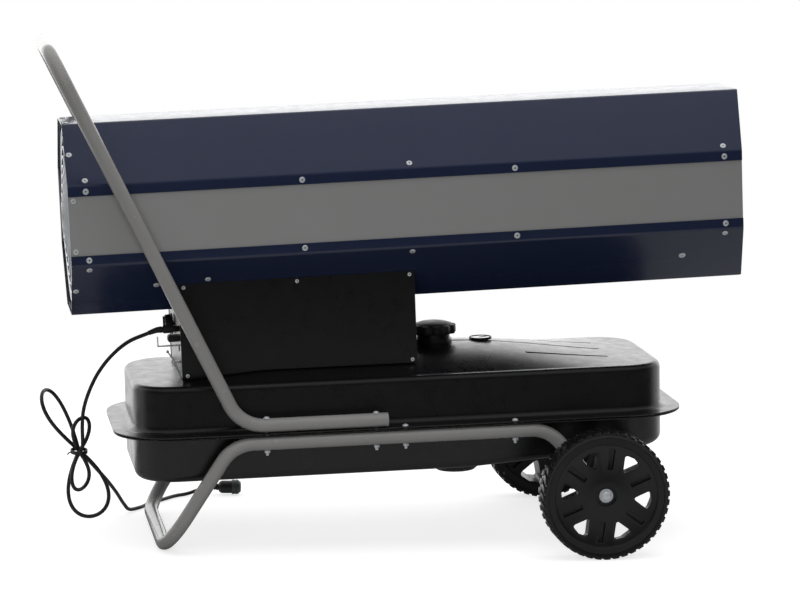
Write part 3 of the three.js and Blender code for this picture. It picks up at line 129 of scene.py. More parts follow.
# %% One recipe for the finishes
def finish(name, base, second, roughness, grain, relief, metallic=0.0, ior=1.5, coat=0.0, drift=90,
           stretch=(1, 1, 1)):
    material = bpy.data.materials.new(name)
    material.use_nodes = True
    tree = material.node_tree
    shader = tree.nodes["Principled BSDF"]
    where = add(tree, "TexCoord").outputs["Object"]
    along = add(tree, "Mapping", {"Vector": where, "Scale": stretch}).outputs["Vector"]
    cloud = add(tree, "TexNoise", {"Vector": where, "Scale": per_metre(drift), "Detail": 4.0})
    mix = add(tree, "Mix", {0: cloud.outputs["Fac"], 6: colour(base), 7: colour(second)}, data_type="RGBA")
    tree.links.new(mix.outputs[2], shader.inputs["Base Color"])
    patch = add(tree, "TexNoise", {"Vector": along, "Scale": per_metre(drift / 5), "Detail": 5.0})
    rough = add(tree, "MapRange", {"Value": patch.outputs["Fac"], "From Min": 0.25, "From Max": 0.75,
                                   "To Min": roughness * 0.85, "To Max": min(roughness * 1.2, 1)})
    tree.links.new(rough.outputs["Result"], shader.inputs["Roughness"])
    fine = add(tree, "TexNoise", {"Vector": along, "Scale": per_metre(grain), "Detail": 2.0})
    bump = add(tree, "Bump", {"Strength": 1.0, "Distance": relief / 1000, "Height": fine.outputs["Fac"]})
    tree.links.new(bump.outputs["Normal"], shader.inputs["Normal"])
    shader.inputs["Metallic"].default_value = metallic
    shader.inputs["Coat Weight"].default_value = coat
    shader.inputs["Coat Roughness"].default_value = 0.12
    if not metallic:
        shader.inputs["IOR"].default_value = ior
    return material


# Powder coat in gloss: orange peel about 2.5 mm across and a few thousandths of a millimetre high.
navy_coat = finish("navy_powder_coat", "1a223a", "1d253d", 0.22, 2.5, 0.006)
# Satin coats and wet paint hide the peel. The tubes are the glossiest of them.
band_coat = finish("grey_powder_coat", "838382", "878787", 0.34, 2.0, 0.01)
box_coat = finish("black_satin_powder_coat", "09090a", "0c0c0d", 0.3, 1.2, 0.004)
tank_paint = finish("black_paint_on_pressed_steel", "0b0b0c", "0e0e0f", 0.29, 3.0, 0.004)
tube_paint = finish("light_grey_tube_paint", "828180", "888786", 0.24, 1.8, 0.008)
# The fan shroud's near-black coat is painted shade for the dark inside of the barrel.
shroud_painted_shade = finish("shroud_painted_shade_coat", "0c0c0e", "121215", 0.45, 1.5, 0.02)
motor_paint = finish("dark_grey_casting_paint", "2c2d30", "37383b", 0.5, 1.6, 0.06)
# Zinc plate under its pale passivation film: clouded, slightly blue, and less of a mirror than bare
# metal, so it is only half metallic.
zinc = finish("zinc_plated_steel", "d8dade", "c6c9cd", 0.4, 1.2, 0.006, metallic=0.5, drift=20)
# Sheet that has been hot: browner and duller, drawn out along the barrel by rolling.
hot_steel = finish("heat_tinted_stainless_steel", "8d8378", "6b6a72", 0.4, 1.0, 0.01, metallic=1.0, drift=60,
                   stretch=(0.1, 1, 1))
aluminium = finish("cast_aluminium", "c6c8ca", "b4b6b9", 0.42, 1.0, 0.05, metallic=1.0, drift=30)
brass = finish("turned_brass", "c9a45c", "b18c48", 0.28, 0.6, 0.01, metallic=1.0, drift=15)
copper = finish("drawn_copper", "c0764f", "a5603e", 0.32, 0.8, 0.01, metallic=1.0, drift=25)
glaze = finish("glazed_ceramic", "e6e1d4", "ded8c8", 0.15, 2.0, 0.005, coat=0.5, drift=15)
board = finish("solder_mask_green", "245234", "1d4329", 0.35, 1.2, 0.02, drift=20)
# Moulded plastic: eroded tool grain, about half a millimetre, drawn at 0.8 so that it shows.
black_plastic = finish("black_moulded_plastic", "121213", "18181a", 0.48, 0.8, 0.03)
switch_plastic = finish("black_gloss_plastic", "0d0d0e", "121213", 0.22, 0.8, 0.01)
wheel_plastic = finish("wheel_polypropylene", "0b0b0c", "101011", 0.36, 0.9, 0.02, drift=50)
cap_plastic = finish("grey_green_polyethylene", "3b423f", "454c49", 0.45, 1.0, 0.02, drift=15)
# Rubber: a new tread still shines from its mould, and the cord's sheath is duller.
tread_rubber = finish("tread_rubber", "0c0c0c", "131212", 0.34, 1.1, 0.03, drift=35)
cord_rubber = finish("cord_sheath_rubber", "141415", "1c1c1d", 0.5, 0.9, 0.02, drift=30)
looks = {
    "shell_paint": navy_coat, "band_paint": band_coat, "box_paint": box_coat, "tank_paint": tank_paint,
    "frame_paint": tube_paint, "wire_paint": zinc, "motor_paint": motor_paint, "plated_steel": zinc,
    "chamber_steel": hot_steel, "bare_aluminium": aluminium, "brass": brass, "copper_pipe": copper,
    "ceramic": glaze, "black_plastic": black_plastic, "switch_plastic": switch_plastic,
    "circuit_board": board, "wheel_plastic": wheel_plastic, "tyre": tread_rubber,
    "rubber": cord_rubber, "cap_plastic": cap_plastic,
}
print("finishes:", len(looks))

# %% [markdown]
# ## Shared ways of making a piece
# A finished piece is smooth-shaded with its hard edges kept, rides on its body, and takes the finish of
# its slot. A ring of vertices pulled through a stack of loops makes anything from a tube to
# a tank; a profile spun round an axis makes anything turned.


# %% Finishing a piece
def finished(name, bm, place, body, slot, stands_for=(), smooth=35, soften=0.0, material=None):
    bmesh.ops.transform(bm, matrix=place, verts=bm.verts)
    mesh = bpy.data.meshes.new(name)
    bm.to_mesh(mesh)
    bm.free()
    mesh.shade_smooth()
    mesh.set_sharp_from_angle(angle=math.radians(smooth))
    mesh.materials.append(material or looks[slot])
    piece = bpy.data.objects.new(name, mesh)
    scene.collection.objects.link(piece)
    if soften:
        edge = piece.modifiers.new("soft edges", "BEVEL")
        edge.width = soften / 1000
        edge.segments = 2
        edge.limit_method = "ANGLE"
        edge.angle_limit = math.radians(smooth)
        edge.harden_normals = True
    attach(piece, body)
    if stands_for:
        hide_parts(*stands_for)
    return piece


# %% Loops, turned shapes and tubes
def stacked(loops, start=False, end=False):
    bm = bmesh.new()
    ring = [bm.verts.new(p) for p in loops[0]]
    edges = [bm.edges.new(pair) for pair in zip(ring, ring[1:] + ring[:1])]
    if start:
        bmesh.ops.edgeloop_fill(bm, edges=edges)
    for loop in loops[1:]:
        made = bmesh.ops.extrude_edge_only(bm, edges=edges)["geom"]
        fresh = {v for v in made if isinstance(v, bmesh.types.BMVert)}
        ring = [next(e.other_vert(v) for e in v.link_edges if e.other_vert(v) in fresh) for v in ring]
        for vert, point in zip(ring, loop):
            vert.co = point
        edges = [bm.edges.get(pair) for pair in zip(ring, ring[1:] + ring[:1])]
    if end:
        bmesh.ops.edgeloop_fill(bm, edges=edges)
    bmesh.ops.recalc_face_normals(bm, faces=bm.faces)
    return bm


AXES = {"x": Vector((1, 0, 0)), "y": Vector((0, 1, 0)), "z": Vector((0, 0, 1))}
ACROSS = {"x": Vector((0, 1, 0)), "y": Vector((1, 0, 0)), "z": Vector((1, 0, 0))}


def turned(profile, axis, steps=48, closed=False):
    bm = bmesh.new()
    verts = [bm.verts.new(ACROSS[axis] * r + AXES[axis] * h) for r, h in profile]
    pairs = list(zip(verts, verts[1:] + verts[:1])) if closed else list(zip(verts, verts[1:]))
    edges = [bm.edges.new(pair) for pair in pairs]
    bmesh.ops.spin(bm, geom=verts + edges, cent=(0, 0, 0), axis=AXES[axis], angle=math.tau, steps=steps,
                   use_merge=True)
    bmesh.ops.remove_doubles(bm, verts=bm.verts, dist=1e-4)
    bmesh.ops.recalc_face_normals(bm, faces=bm.faces)
    return bm


def rings_along(line, radius, sides):
    way = (line[1] - line[0]).normalized()
    out = way.orthogonal().normalized()
    loops = []
    for i, point in enumerate(line):
        before = line[max(i - 1, 0)]
        after = line[min(i + 1, len(line) - 1)]
        ahead = (after - before).normalized()
        out = (way.rotation_difference(ahead) @ out).normalized()
        way = ahead
        across = way.cross(out)
        turns = ring_of(sides)
        loops.append([point + (out * math.cos(a) + across * math.sin(a)) * radius for a in turns])
    return loops


def bent(corners, radius, steps=10):
    line = [corners[0]]
    for before, corner, after in zip(corners, corners[1:], corners[2:]):
        back = (before - corner).normalized()
        on = (after - corner).normalized()
        half = back.angle(on) / 2
        centre = corner + (back + on).normalized() * radius / math.sin(half)
        start = corner + back * radius / math.tan(half) - centre
        axis = start.cross(corner + on * radius / math.tan(half) - centre).normalized()
        for k in range(steps + 1):
            turn = Matrix.Rotation((math.pi - 2 * half) * k / steps, 3, axis)
            line.append(centre + turn @ start)
    line.append(corners[-1])
    return line


def joined(*parts):
    whole = bmesh.new()
    for part in parts:
        scratch = bpy.data.meshes.new("scratch")
        part.to_mesh(scratch)
        part.free()
        whole.from_mesh(scratch)
        bpy.data.meshes.remove(scratch)
    return whole


def moved(bm, x=0.0, y=0.0, z=0.0):
    bmesh.ops.translate(bm, verts=bm.verts, vec=(x, y, z))
    return bm


# %% Blocks and eased edges
def block(place, size):
    bm = bmesh.new()
    bmesh.ops.create_cube(bm, size=1, matrix=place @ Matrix.Diagonal((*size, 1)))
    return bm


def eased(bm, parts, radius, segments, affect="EDGES"):
    bmesh.ops.bevel(bm, geom=parts, offset=radius, offset_type="OFFSET", affect=affect, segments=segments,
                    profile=0.5, material=-1)
    return bm


def ring_of(count):
    return [i * math.tau / count for i in range(count)]


# %% [markdown]
# ## Mains cord
# The cord is a rubber-sheathed lead of 6.2 mm. It leaves the gland straight back, bends down under its
# own weight to a bundle of four loops tied at the waist, and runs on to the floor and its plug. All of it
# is one smooth curve through chosen points; the loops come from a formula, each a layer further away.

# %% The cord's route
CORD_R = 3.1
WAIST = Vector((-818.9, -45, 146.2))
LAYER = 7.2
LOOPS = [((2.7, -60), 30, 17), ((5, 55), 28, 14), ((23.4, -107.5), 64, 0), ((-56.7, 95.4), 26, 25)]
LOOP_STEPS = 24
WIDEST = 0.7698
FURTHEST = 0.626
CORD_LIE = CORD_R + 0.3
DROP = [(-715.9, -70.4, 338.3), (-742.4, -68.8, 326.4), (-768.7, -67.1, 304.1), (-789.2, -65.5, 277.1),
        (-803.7, -63.9, 247), (-812.5, -62.2, 216.9), (-814.5, -60.6, 192.6)]
RUN = [(-790, 10, 108.5), (-768.1, 58, 77.7), (-749.6, 98, 48.3), (-733.5, 137, 19), (-722.9, 160.8, 5.2),
       (-703.7, 183, CORD_LIE), (-688.5, 208, CORD_LIE), (-656.3, 248.8, CORD_LIE), (-635.2, 273, CORD_LIE),
       (-612.8, 288, CORD_LIE + 0.4)]
PLUG_START = Vector((-573, 296.5, 12.8))
PLUG_YAW = math.radians(-4)


def hank_line():
    line = []
    for k, (tip, wide, swing) in enumerate(LOOPS):
        tip = Vector((tip[0], 0, tip[1]))
        to_left = Vector((-abs(tip.z), 0, math.copysign(1, tip.z) * tip.x)).normalized()
        for i in range(LOOP_STEPS):
            s = (i + 0.5) / LOOP_STEPS
            turn = math.tau * s
            out = (1 - math.cos(turn)) / 2
            side = math.sin(turn) * math.sin(turn / 2) / WIDEST
            depth = (k + s - len(LOOPS) / 2) * LAYER - side * out * swing / FURTHEST
            line.append(WAIST + Vector((0, depth, 0)) + tip * out + to_left * (side * wide / 2))
    return line[1:-1]


# A centripetal Catmull-Rom curve passes through every point and never overshoots into a loop.
def through(points, step):
    points = [points[0] * 2 - points[1], *points, points[-1] * 2 - points[-2]]
    line = []
    for a, b, c, d in zip(points, points[1:], points[2:], points[3:]):
        t0 = 0
        t1 = t0 + (b - a).length ** 0.5
        t2 = t1 + (c - b).length ** 0.5
        t3 = t2 + (d - c).length ** 0.5
        count = max(1, round((c - b).length / step))
        for i in range(count):
            t = t1 + (t2 - t1) * i / count
            ab = a.lerp(b, (t - t0) / (t1 - t0))
            bc = b.lerp(c, (t - t1) / (t2 - t1))
            cd = c.lerp(d, (t - t2) / (t3 - t2))
            abc = ab.lerp(bc, (t - t0) / (t2 - t0))
            bcd = bc.lerp(cd, (t - t1) / (t3 - t1))
            line.append(abc.lerp(bcd, (t - t1) / (t2 - t1)))
    line.append(points[-2])
    return line


gland_face = Vector((141.4, -72, -182.7))
to_ground = GROUND.inverted() @ HEATER
leave = to_ground @ gland_face
straight = to_ground @ (gland_face - Vector((2 * CORD_R - 0.3, 0, 0)))
entry = [WAIST + Vector(p) for p in ((5.1, -14, 16), (4.6, -14, 8.5))]
way_out = [WAIST + Vector(p) for p in ((5, 15.5, -6), (10.5, 20, -12))]
plug_way = Vector((math.cos(PLUG_YAW), math.sin(PLUG_YAW), 0))
route = [leave, straight, *map(Vector, DROP), *entry, *hank_line(), *way_out, *map(Vector, RUN),
         PLUG_START - plug_way * 2 * CORD_R, PLUG_START - plug_way * 0.3]
cord_line = [GROUND @ p for p in through(route, 4)]

# %% The cord as a curve
cord_curve = bpy.data.curves.new("mains_cord", "CURVE")
cord_curve.dimensions = "3D"
cord_curve.bevel_depth = CORD_R / 1000
cord_curve.bevel_resolution = 3
cord_curve.use_fill_caps = True
spline = cord_curve.splines.new("POLY")
spline.points.add(len(cord_line) - 1)
for point, place in zip(spline.points, cord_line):
    point.co = (*place, 1)
spline.use_smooth = True
cord_curve.materials.append(cord_rubber)
cord = bpy.data.objects.new("mains_cord", cord_curve)
scene.collection.objects.link(cord)
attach(cord, "chassis")
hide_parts("cord_drop", "cord_hank", "cord_run")

# %% [markdown]
# ## Strain relief
# Where the cord leaves the gland it is held in a soft sleeve, 22 mm long, that thins out along the cord
# and is ringed by five shallow grooves, so that the cord can't kink at the nut.

# %% Strain relief at the gland
SLEEVE, SLEEVE_STEP = 0.022, 0.0005
SLEEVE_R, SLEEVE_THINS = 5.4, 1.7
GROOVES, GROOVE_DEEP = 5, 0.35
sleeve_line, gone = [cord_line[0]], 0.0
for a, b in zip(cord_line, cord_line[1:]):
    count = max(round((b - a).length / SLEEVE_STEP), 1)
    for k in range(1, count + 1):
        sleeve_line.append(a.lerp(b, k / count))
    gone += (b - a).length
    if gone > SLEEVE:
        break
sleeve_line = [p for i, p in enumerate(sleeve_line) if i * SLEEVE_STEP <= SLEEVE]
sleeve_loops = rings_along(sleeve_line, 0.001, 28)
for i, (centre, loop) in enumerate(zip(sleeve_line, sleeve_loops)):
    share = i / (len(sleeve_line) - 1)
    groove = GROOVE_DEEP * max(math.sin(share * GROOVES * math.tau), 0) ** 2
    radius = SLEEVE_R - SLEEVE_THINS * share - groove
    sleeve_loops[i] = [centre + (p - centre) * radius for p in loop]
finished("gland_strain_relief", stacked(sleeve_loops, True, True), PART, "chassis", "black_plastic")
print("strain relief made:", len(sleeve_line), "rings")

# %% [markdown]
# ## Plug, its cap and the cable tie
# The plug is a moulded body that runs out into a ribbed strain relief; a soft grey-green cap protects its
# pins. Both are turned shapes, so each is a profile spun round the cord's own line. The tie is a nylon
# strap: an oval band whose loose end stands out.

# %% Plug
PLUG_PLACE = GROUND @ Matrix.Translation(PLUG_START) @ Matrix.Rotation(PLUG_YAW, 4, "Z")
RIB_PITCH = 4.2
ribs = []
for i in range(3):
    start = 1 + i * RIB_PITCH
    tall = 4.6 + i * 0.6
    ribs += [(tall - 0.9, start), (tall, start + 0.5), (tall, start + 2.6), (tall - 0.9, start + 3.1)]
body_profile = [(0, 0), (3.7, 0), *ribs, (7, 14), (9.2, 15.6), (10.6, 18), (11, 20.5), (11, 40), (0, 40)]
plug = finished("plug_moulding", turned(body_profile, "x", 40), PLUG_PLACE, "chassis", "black_plastic",
                ["plug"])
cap_profile = [(0, 52), (7.2, 52), (8.8, 51.5), (12, 47.5), (12.6, 46), (12.6, 43.6), (12.2, 43), (12.2, 41),
               (12.6, 40.4), (12.6, 37), (12, 36.1), (11.3, 36.1), (11.3, 40.1), (0, 40.1)]
plug_cap = finished("plug_cover", turned(cap_profile, "x", 40), PLUG_PLACE, "chassis", "cap_plastic",
                    ["plug_cap"])
print("plug:", len(ribs) // 4, "ribs")

# %% Cable tie
TIE_IN = (12.2, 2 * LAYER + CORD_R + 2.2)
around = ring_of(48)
tie_rings = [(1.6, -2.6), (1.6, 2.6), (1.2, 3), (0.3, 3), (0, 2.6), (0, -2.6), (0.3, -3), (1.2, -3),
             (1.6, -2.6)]
tie_band = stacked([[Vector(((TIE_IN[0] + grow) * math.cos(a), (TIE_IN[1] + grow) * math.sin(a), height))
                     for a in around] for grow, height in tie_rings])
bmesh.ops.remove_doubles(tie_band, verts=tie_band.verts, dist=1e-4)
tail_line = through([Vector((-12.7, -6, 0)), Vector((-16.2, -8, -1)), Vector((-19.2, -9, -4))], 1)
tie_tail = stacked(rings_along(tail_line, 1.0, 10), True, True)
tie = finished("cable_tie", joined(tie_band, tie_tail), GROUND @ Matrix.Translation(WAIST), "chassis",
               "black_plastic", ["cord_tie"])
print("tie round the waist:", [round(2 * r, 1) for r in TIE_IN], "mm inside")

# %% [markdown]
# ## Solids that keep their shape
# Most CAD solids are right as they are, but their edges are sharp and their round faces are flats. Each
# is copied; its loose triangles are welded and flat faces are cleared of needless edges; then a small
# bevel catches the light as a pressed, moulded or filed edge does.


# %% Worked copies of CAD solids
FOLD = (0.5, 1.2)
BARREL_FOLD = (0.9, 3.0)


def copied(node):
    bm = bmesh.new()
    bm.from_mesh(frame["nodes"][node].data)
    bmesh.ops.remove_doubles(bm, verts=bm.verts, dist=2e-6)
    bmesh.ops.dissolve_limit(bm, angle_limit=math.radians(1), verts=bm.verts, edges=bm.edges)
    return bm


def worked(node, soften=0.4, smooth=38, creases=None, material=None):
    bm = copied(node)
    if creases:
        length, radius = creases
        sharp = [e for e in bm.edges if e.calc_length() > length and len(e.link_faces) == 2
                 and FOLD[0] < e.calc_face_angle(0) < FOLD[1]]
        eased(bm, sharp, radius / 1000, 4)
    return finished(node + "_worked", bm, PART, body_of[node], slot_of[node], [node], smooth, soften,
                    material)


for shell in ("upper_shell", "lower_shell"):
    worked(shell, 0.3, 30, creases=BARREL_FOLD)
for sheet in ("side_panel_right", "side_panel_left"):
    worked(sheet, 0.3)
for cover in ("side_cover_right", "side_cover_left", "control_chassis"):
    worked(cover, 0.35)
print("barrel and box worked")

# %% Small and inner parts
rounded = {
    0.25: ["cord_gland", "cord_hook", "room_sensor", "motor_bracket", "burner_head", "nozzle",
           "ignition_electrode", "flame_sensor", "combustion_chamber", "heat_shield", "outlet_spider",
           "outlet_baffle", "control_board", "switch_rocker", "suction_pipe"],
    0.5: ["axle", "power_switch", "motor_shaft", "fuel_hose"],
    1.2: ["motor", "fuel_pump", "ignition_transformer", "drain_plug"],
}
for soften, nodes in rounded.items():
    for node in nodes:
        worked(node, soften, 42)
print("small and inner parts:", sum(map(len, rounded.values())))

# %% [markdown]
# ## Fuel tank
# The tank is two deep-drawn halves with a shared rim. Drawing leaves big soft radii where the wall meets
# the rim and the top, so the halves are lofted: a rounded rectangle is pulled in from the rim, up the
# wall and over the crown, and a Solidify modifier gives the skin its thickness.

# %% Tank forms
HALF_X, HALF_Y, CORNER = 429.7, 154, 68
TANK_TOP, TANK_BOTTOM, SHEET = 77.5, 76.7, 2.5
CROWN_H, CROWN_X, CROWN_Y = 30, (-380, -200, 95, 428), 142
RAMP_X, RAMP = 100, 0.0635


def smooth_step(t):
    t = min(max(t, 0), 1)
    return t * t * (3 - 2 * t)


def crown(x, y):
    along = smooth_step((x - CROWN_X[0]) / (CROWN_X[1] - CROWN_X[0]))
    along *= 1 - smooth_step((x - CROWN_X[2]) / (CROWN_X[3] - CROWN_X[2]))
    return CROWN_H * along * max(1 - (y / CROWN_Y) ** 2, 0)


def floor_at(x, y):
    return -TANK_BOTTOM + max(x - RAMP_X, 0) * RAMP


def tank_loop(inset, height, arc=10, long=40, short=8):
    half_x, half_y, corner = HALF_X - inset, HALF_Y - inset, max(CORNER - inset, 4)
    ex, ey = half_x - corner, max(half_y - corner, 0.5)
    loop = []
    corners = [(ex, ey, 0, long), (-ex, ey, 1, short), (-ex, -ey, 2, long), (ex, -ey, 3, short)]
    for cx, cy, turn, run in corners:
        for i in range(arc + 1):
            a = (turn + i / arc) * math.pi / 2
            loop.append((cx + corner * math.cos(a), cy + corner * math.sin(a)))
        nx, ny = [(-ex, ey), (-ex, -ey), (ex, -ey), (ex, ey)][turn]
        a = (turn + 1) * math.pi / 2
        side = (corner * math.cos(a), corner * math.sin(a))
        for i in range(1, run):
            loop.append((cx + (nx - cx) * i / run + side[0], cy + (ny - cy) * i / run + side[1]))
    return [Vector((x, y, height(x, y))) for x, y in loop]


def fillet(steps, make):
    return [make(math.radians(90 * i / steps)) for i in range(steps + 1)]


SEAM = 0.15
FLANGE = 31.5
print("tank outline:", len(tank_loop(0, floor_at)), "points")

# %% Tank, upper half
FLARE, SHOULDER = 11, 10
CROWN_INSETS = (12, 15, 20, 26, 34, 42, 50, 60, 70, 80, 90, 100, 110, 120, 130, 140, 152)
upper_levels = [(-FLANGE, lambda x, y: SEAM + 0.7), (-FLANGE, lambda x, y: SEAM + SHEET - 0.6),
                (-FLANGE + 0.6, lambda x, y: SEAM + SHEET)]
upper_levels += fillet(6, lambda a: (-FLARE * (1 - math.sin(a)),
                                     lambda x, y: SEAM + SHEET + FLARE * (1 - math.cos(a))))
upper_levels += fillet(8, lambda a: (SHOULDER * (1 - math.cos(a)),
                                     lambda x, y: TANK_TOP - SHOULDER * (1 - math.sin(a))))
upper_levels += [(inset, lambda x, y: TANK_TOP + crown(x, y)) for inset in CROWN_INSETS]
tank_top = stacked([tank_loop(inset, height) for inset, height in upper_levels], end=True)
print("upper half:", len(upper_levels), "loops")

# %% [markdown]
# Three grooves are pressed into the front of the top, for stiffness. Planes cut the faces along each
# groove's edges, and the vertices between the inner planes are lowered.

# %% Pressed grooves
GROOVE_YS = (65, 0, -70)
GROOVE_X, GROOVE_SLOPE = (214.5, 347.5), 2.5
GROOVE_HALF, GROOVE_LIP, GROOVE_PRESS = 1.7, 3.4, 1.8
along_cuts = (GROOVE_X[0] - GROOVE_SLOPE, GROOVE_X[0], GROOVE_X[1], GROOVE_X[1] + GROOVE_SLOPE)
for middle in GROOVE_YS:
    across_cuts = [middle + d for d in (-GROOVE_LIP, -GROOVE_HALF, GROOVE_HALF, GROOVE_LIP)]
    planes = [((0, y, 0), (0, 1, 0)) for y in across_cuts] + [((x, 0, 0), (1, 0, 0)) for x in along_cuts]
    for plane, normal in planes:
        near = [f for f in tank_top.faces if f.calc_center_median().z > TANK_TOP - 2
                and 180 < f.calc_center_median().x < 380 and abs(f.calc_center_median().y - middle) < 40]
        parts = set(near) | {e for f in near for e in f.edges} | {v for f in near for v in f.verts}
        bmesh.ops.bisect_plane(tank_top, geom=list(parts), plane_co=plane, plane_no=normal)
    for vert in tank_top.verts:
        inside = abs(vert.co.y - middle) < GROOVE_HALF + 0.1
        if inside and GROOVE_X[0] - 0.5 < vert.co.x < GROOVE_X[1] + 0.5 and vert.co.z > TANK_TOP - 2:
            vert.co.z -= GROOVE_PRESS
tank_upper = finished("tank_top", tank_top, TANK, "chassis", "tank_paint", ["tank_upper"], 28)
print("grooves:", len(GROOVE_YS))

# %% Tank, lower half
BOTTOM_EDGE = 15
lower_levels = [(-FLANGE, lambda x, y: -SEAM - 0.7), (-FLANGE, lambda x, y: -SEAM - SHEET + 0.6),
                (-FLANGE + 0.6, lambda x, y: -SEAM - SHEET)]
lower_levels += fillet(5, lambda a: (-FLARE * 0.5 * (1 - math.sin(a)),
                                     lambda x, y: -SEAM - SHEET - FLARE * 0.5 * (1 - math.cos(a))))
lower_levels += fillet(8, lambda a: (BOTTOM_EDGE * (1 - math.cos(a)),
                                     lambda x, y: floor_at(x, y) + BOTTOM_EDGE * (1 - math.sin(a))))
lower_levels += [(inset, floor_at) for inset in (40, 80, 120, 152)]
tank_bottom = stacked([tank_loop(inset, height) for inset, height in lower_levels], end=True)
tank_lower = finished("tank_bottom", tank_bottom, TANK, "chassis", "tank_paint", ["tank_lower"], 28)
for half in (tank_upper, tank_lower):
    wall = half.modifiers.new("sheet", "SOLIDIFY")
    wall.thickness = 0.0009
    wall.offset = -1
print("tank halves:", len(tank_upper.data.polygons), "and", len(tank_lower.data.polygons), "faces")

# %% [markdown]
# ## Filler neck, cap and gauge
# The cap is a moulded grip of twelve lobes with a domed middle. Its outline is a circle whose radius
# rises and falls, pulled up and in through a few loops. The gauge is a bezel with a pale dial set in.

# %% Cap and neck
NECK_X = 72
GRIP_R, LOBES, LOBE_DEEP = 37.5, 12, 1.6


def lobed(grow, height, count=144):
    angles = ring_of(count)
    radii = [GRIP_R + grow - LOBE_DEEP + LOBE_DEEP * math.cos(LOBES * a) for a in angles]
    return [Vector((NECK_X + r * math.cos(a), r * math.sin(a), height)) for r, a in zip(radii, angles)]


def disc(radius, height, count=144):
    return [Vector((NECK_X + radius * math.cos(a), radius * math.sin(a), height)) for a in ring_of(count)]


cap = stacked([disc(29, 122.2), lobed(-1, 121.7), lobed(0, 122.7), lobed(0, 133.2), lobed(-0.5, 134.8),
               lobed(-2, 135.8), disc(32.4, 136.2), disc(31, 136.4), disc(30, 137.2), disc(22, 139.8),
               disc(14, 141.2), disc(12, 141.4)], True, True)
finished("fuel_cap_moulding", cap, TANK, "cap", "black_plastic", ["fuel_cap"], 50)
neck = turned([(24, 105), (27, 105), (30.5, 106), (30.5, 112), (30, 113), (27, 113), (27, 128.6), (26.6, 129),
               (24.4, 129), (24, 128.6)], "z", 64, closed=True)
finished("filler_neck", moved(neck, NECK_X), TANK, "chassis", "tank_paint")
print("cap:", LOBES, "lobes")

# %% Gauge
GAUGE_AT = (152, 10)
bezel = turned([(0, 60), (9, 60), (9, 106.2), (18.5, 106.2), (18.5, 109.4), (18, 110), (16.4, 110),
                (15.8, 109.4), (15.8, 108.6), (0, 108.6)], "z", 64)
finished("gauge_bezel", moved(bezel, *GAUGE_AT), TANK, "chassis", "black_plastic", ["fuel_gauge"])
# A printed card under a clear lens: pale, and glossy from the lens.
dial_face = finish("printed_dial", "d8d8d2", "cfcfc8", 0.4, 1.0, 0.003, coat=0.6)
dial = turned([(0, 108.7), (15.2, 108.7), (15.2, 109.1), (0, 109.1)], "z", 48)
finished("gauge_dial", moved(dial, *GAUGE_AT), TANK, "chassis", "ceramic", material=dial_face)
needle = block(Matrix.Translation((157, 12, 109.4)) @ Matrix.Rotation(0.5, 4, "Z"), (16, 1.1, 0.5))
finished("gauge_needle", needle, TANK, "chassis", "black_plastic", soften=0.1)
print("gauge at", GAUGE_AT)

# %% [markdown]
# ## Trolley and handle
# Both are 22.5 mm steel tube, bent on a former with one radius and painted light grey. The centre line is
# straight between corners with an arc at each, and a ring of vertices is pulled along it.

# %% Tubes
TUBE_R, RAIL_Y, BEND_R = 11.25, 175.3, 60
RIM_Z = 110
RAIL_DROP = TUBE_R + SHEET + 0.45
RAIL_Z, HANDLE_Z = RIM_Z - RAIL_DROP, RIM_Z + RAIL_DROP
FOOT_FLAT = 0.8
FOOT_X = -692.5
FOOT_Z = (TUBE_R - FOOT_FLAT - 102.5 - FOOT_X * math.sin(LEAN)) / math.cos(LEAN)
TUBE_SIDES = 32


def both_sides(points):
    near = [Vector((x, -RAIL_Y, z)) for x, z in points]
    far = [Vector((x, RAIL_Y, z)) for x, z in reversed(points)]
    return near + far


def tube_of(line, mouth):
    loops = rings_along(line, TUBE_R, TUBE_SIDES)
    first, last = line[0], line[-1]
    if not mouth:
        ends = [[end.lerp(p, 0.9) for p in loop] for end, loop in ((first, loops[0]), (last, loops[-1]))]
        return stacked([ends[0], *loops, ends[1]], True, True)
    bore = (TUBE_R - 1.5) / TUBE_R
    deep = 12 / (line[1] - first).length
    start_in = [[a.lerp(b, s).lerp(first.lerp(line[1], s), 1 - bore) for a, b in zip(loops[0], loops[1])]
                for s in (deep, 0)]
    end_in = [[a.lerp(b, s).lerp(last.lerp(line[-2], s), 1 - bore) for a, b in zip(loops[-1], loops[-2])]
              for s in (0, deep)]
    return stacked([*start_in, *loops, *end_in], True, True)


# The tube's foot is pressed a little flat where it stands on the ground.
axle_way = Vector((74.5, 0, -RAIL_Z)).normalized() * 16
trolley_line = bent(both_sides([(axle_way.x, axle_way.z), (-74.5, RAIL_Z), (-580.6, RAIL_Z),
                                (FOOT_X, FOOT_Z)]), BEND_R)
trolley = tube_of(trolley_line, False)
for vert in trolley.verts:
    spot = CHASSIS @ vert.co
    if spot.z < 0.0001:
        vert.co.z += (0.0001 - spot.z) * 1000
finished("trolley_tube", trolley, CHASSIS, "chassis", "frame_paint", ["frame_tube"])
handle_line = bent(both_sides([(-333.7, HANDLE_Z), (-568.4, HANDLE_Z), (-845.4, 720.4)]), BEND_R)
finished("handle", tube_of(handle_line, True), CHASSIS, "chassis", "frame_paint", ["handle_tube"])
print("trolley tube:", round(sum((b - a).length for a, b in zip(trolley_line, trolley_line[1:]))), "mm long")

# %% [markdown]
# ## Wheels
# The wheels are moulded in two plastics: a hard centre with six rounded three-cornered openings, shallow
# slots between them and a deep hub, and a soft tread of chunky lugs in two staggered rows. The centre is
# a spun profile with the openings cut by a boolean; one lug is modelled once and turned round the wheel.


# %% Wheel centre
def cut_away(piece, tool):
    carve = piece.modifiers.new("cut", "BOOLEAN")
    carve.operation = "DIFFERENCE"
    carve.solver = "EXACT"
    carve.object = tool
    seen = piece.evaluated_get(bpy.context.evaluated_depsgraph_get())
    mesh = bpy.data.meshes.new_from_object(seen)
    piece.modifiers.clear()
    bpy.data.objects.remove(tool)
    return mesh


